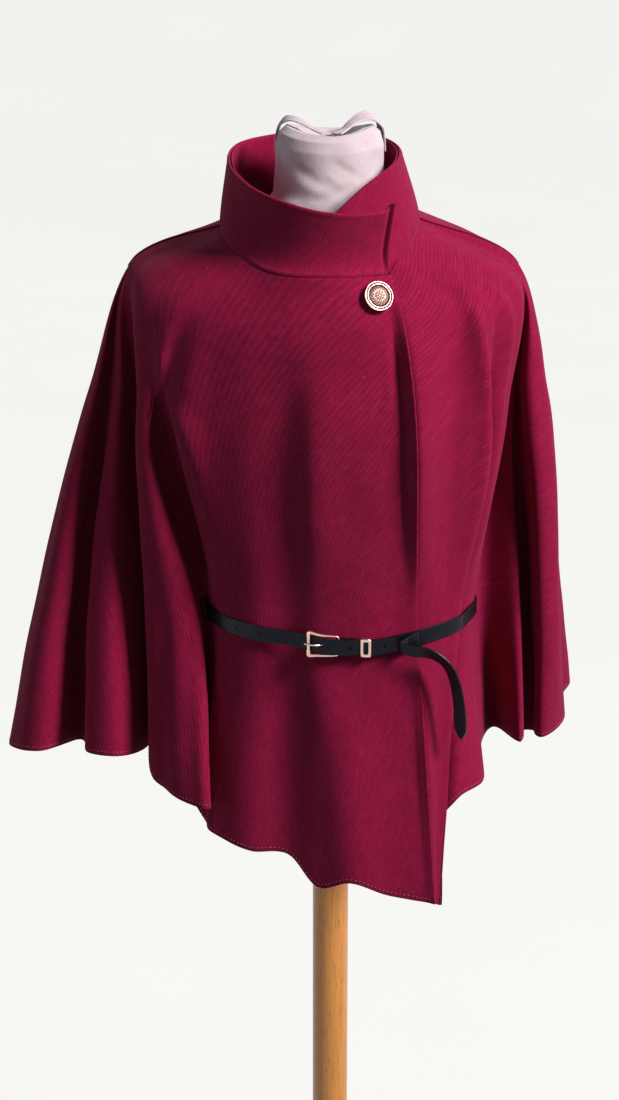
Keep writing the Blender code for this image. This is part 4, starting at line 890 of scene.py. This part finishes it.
# The button: stamped from zinc and plated in rose gold, 28 mm across, with a stepped rim, a dark ring groove
# and a low dome of leaves.
BUTTON_STEPS = 240
BUTTON_PROFILE = (         # radius and height over the shank's foot, from the foot to the dome's edge
    (0.01, 0), (3.5, 0), (3.5, 3.0), (11.4, 3.0), (12.6, 3.3), (13.5, 4.0), (14.0, 4.9), (13.95, 5.5),
    (13.6, 6.0), (13.1, 6.15), (12.7, 5.9), (12.5, 5.3), (12.2, 5.0), (11.9, 5.2), (11.6, 5.9), (11.2, 6.25),
    (10.7, 6.3), (10.3, 6.0), (10.1, 5.2), (9.8, 4.7), (9.5, 4.7), (9.3, 5.1))
DOME_RADIUS, DOME_LOW, DOME_HIGH = 9.2, 5.6, 7.2
LEAF_HEIGHT = 1.6          # how much deeper than a plain stamping the leaves are drawn, so that they show
GROOVES = ((12.3, .5), (9.8, .75))    # radius and reach of the two dark rings
DOME_RINGS = 44
BOSS_RADIUS, BOSS_HEIGHT = 1.5, 0.5
LEAF_ROWS = (              # leaves in the ring, inner and outer radius, curl, height
    (8, 1.4, 5.2, 0.0, 0.55), (16, 4.2, 8.9, 0.5, 0.5))
VEIN_DEPTH, VEIN_HALF = 0.35, 0.03
DARK_SHARE, BRIGHT_HEIGHT = 0.72, 0.3  # how dark the dome's hollows are, and how much height clears them


def leaves(radius, turn):
    """Height of the stamped relief on the dome: a boss, a ring of eight leaves, a ring of curled ones."""
    relief = BOSS_HEIGHT * max(0.0, 1 - (radius / BOSS_RADIUS) ** 2)
    for count, inner, outer, curl, height in LEAF_ROWS:
        share = (radius - inner) / (outer - inner)
        if 0 < share < 1:
            width = math.sin(math.pi * share ** 0.8)
            swing = math.sin((turn + curl * share) * count / 2 + (0.8 if curl else 0.0))
            leaf = max(0.0, 1 - ((1 - abs(swing)) / max(0.05, 0.55 * width)) ** 2)
            vein = VEIN_DEPTH * math.exp(-((1 - abs(swing)) / VEIN_HALF) ** 2)
            relief = max(relief, height * width ** 0.5 * max(0.0, leaf - vein))
    return relief


def antique_rose_gold():
    """The same plating left dark in its hollows, so that the leaves and rings stand out."""
    material = rose_gold("antique_rose_gold")
    shader = material.node_tree.nodes["Principled BSDF"]
    plating, polish = (shader.inputs[name].links[0].from_node for name in ("Base Color", "Roughness"))
    hollow = add(material, "UVMap", uv_map="hollows")
    share = add(material, "SeparateXYZ", {"Vector": (hollow, "UV")})
    dark = add(material, "MapRange", {"Value": (share, "X"), "From Min": 0.1, "From Max": 0.8})
    toned = add(material, "Mix", {"Factor": (dark, "Result"), "A": (plating, "Result"),
                "B": linear("#5A3E36")}, data_type="RGBA")
    rough = add(material, "Math", {0: (dark, "Result"), 1: 0.3, 2: (polish, "Result")},
                operation="MULTIPLY_ADD")
    feed(shader, {"Base Color": (toned, "Result"), "Roughness": (rough, "Value")})
    return material


spots = np.array([v.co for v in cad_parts["button"].data.vertices])
middle = spots.mean(axis=0)
axis = np.linalg.svd(spots - middle)[2][2]
axis = axis if axis[1] < 0 else -axis
foot = middle + axis * ((spots - middle) @ axis).min()
side = unit(np.cross(UP, axis))
other = np.cross(axis, side)
turns = np.arange(BUTTON_STEPS) * 2 * math.pi / BUTTON_STEPS
rings = [[(r, h)] * BUTTON_STEPS for r, h in BUTTON_PROFILE]
tarnish = [[max(math.exp(-((r - g) / reach) ** 2) for g, reach in GROOVES)] * BUTTON_STEPS
           for r, h in BUTTON_PROFILE]
for k in range(DOME_RINGS + 1):
    radius = DOME_RADIUS * (1 - k / DOME_RINGS) + 0.02
    crown = DOME_LOW + (DOME_HIGH - DOME_LOW) * (1 - (radius / DOME_RADIUS) ** 2)
    relief = [leaves(radius, turn) for turn in turns]
    rings.append([(radius, crown + height * LEAF_HEIGHT) for height in relief])
    tarnish.append([max(0.0, DARK_SHARE - height / BRIGHT_HEIGHT) for height in relief])
points = [foot + (side * math.cos(turn) * r + other * math.sin(turn) * r + axis * h) * MM
          for ring in rings for turn, (r, h) in zip(turns, ring)]
stamped = mesh_piece("stamped_button", points, tube_faces(len(rings), BUTTON_STEPS), antique_rose_gold())
point_map(stamped, "hollows", np.repeat(np.array(tarnish).reshape(-1, 1), 2, axis=1))
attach(stamped, "root")
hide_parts("button")

# Hem stitching: one line of pink polyester thread, sewn through all three panels near their lower edge.
# Each stitch sinks into the cloth at both ends.
STITCH_PITCH, STITCH_LENGTH, STITCH_RADIUS = 4.2, 2.4, 0.3
STITCH_ABOVE = 3.2         # how far over the hem
STITCH_SIDES = 6
STITCH_RINGS = (           # along one stitch: share of its length, how far it stands out, share of its radius
    (-0.5, -0.35, 0.5), (-0.3, 0.0, 0.9), (0, 0.12, 1), (0.3, 0.0, 0.9), (0.5, -0.35, 0.5))


def sewing_thread():
    """Spun polyester thread in a paler pink than the cloth, twisted and a little glossy."""
    material, shader = blank("polyester_thread")
    place = add(material, "TexCoord")
    plies = add(material, "TexNoise", {"Vector": (place, "Object"), "Scale": 2500.0, "Detail": 2.0})
    shade = add(material, "Mix", {"Factor": (plies, "Fac"), "A": linear("#8A2A4C"),
                "B": linear("#BE6A88")}, data_type="RGBA")
    bump = add(material, "Bump", {"Height": (plies, "Fac"), "Distance": 0.1 * MM, "Strength": 0.6})
    feed(shader, {"Base Color": (shade, "Result"), "Normal": (bump, "Normal"), "Roughness": 0.6})
    return material


def stitches(name, path, out, material):
    """A line of stitches along a path, each a short thread that dips into the cloth at both ends."""
    run = run_along(path)
    points, faces = [], []
    for k in range(1, int(run[-1] / (STITCH_PITCH * MM)) - 1):
        faces += tube_faces(len(STITCH_RINGS), STITCH_SIDES, len(points))
        marks = [(k * STITCH_PITCH + STITCH_LENGTH * share) * MM for share, sunk, size in STITCH_RINGS]
        middles = np.stack([np.interp(marks, run, path[:, i]) for i in range(3)], axis=1)
        away = unit(np.stack([np.interp(marks, run, out[:, i]) for i in range(3)], axis=1))
        along = unit(middles[-1] - middles[0])
        for centre, up, (share, sunk, size) in zip(middles, away, STITCH_RINGS):
            across = unit(np.cross(along, up))
            for a in np.arange(STITCH_SIDES) * 2 * math.pi / STITCH_SIDES:
                round_it = across * math.cos(a) + up * math.sin(a)
                points.append(centre + (up * sunk + round_it * STITCH_RADIUS * size) * MM)
    return mesh_piece(name, points, faces, material)


thread = sewing_thread()
rise = unit(cape[-2] - cape[-1])
hem_path = cape[-1] + rise * STITCH_ABOVE * MM
hem_out = outward(cape)[-1]
for name, first, last in (("right_front_stitches", 0, right_seam), ("back_stitches", right_seam, left_seam),
                          ("left_front_stitches", left_seam, shown.shape[1] - 1)):
    sewn = stitches(name, hem_path[first:last + 1], hem_out[first:last + 1], thread)
    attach(sewn, "root")
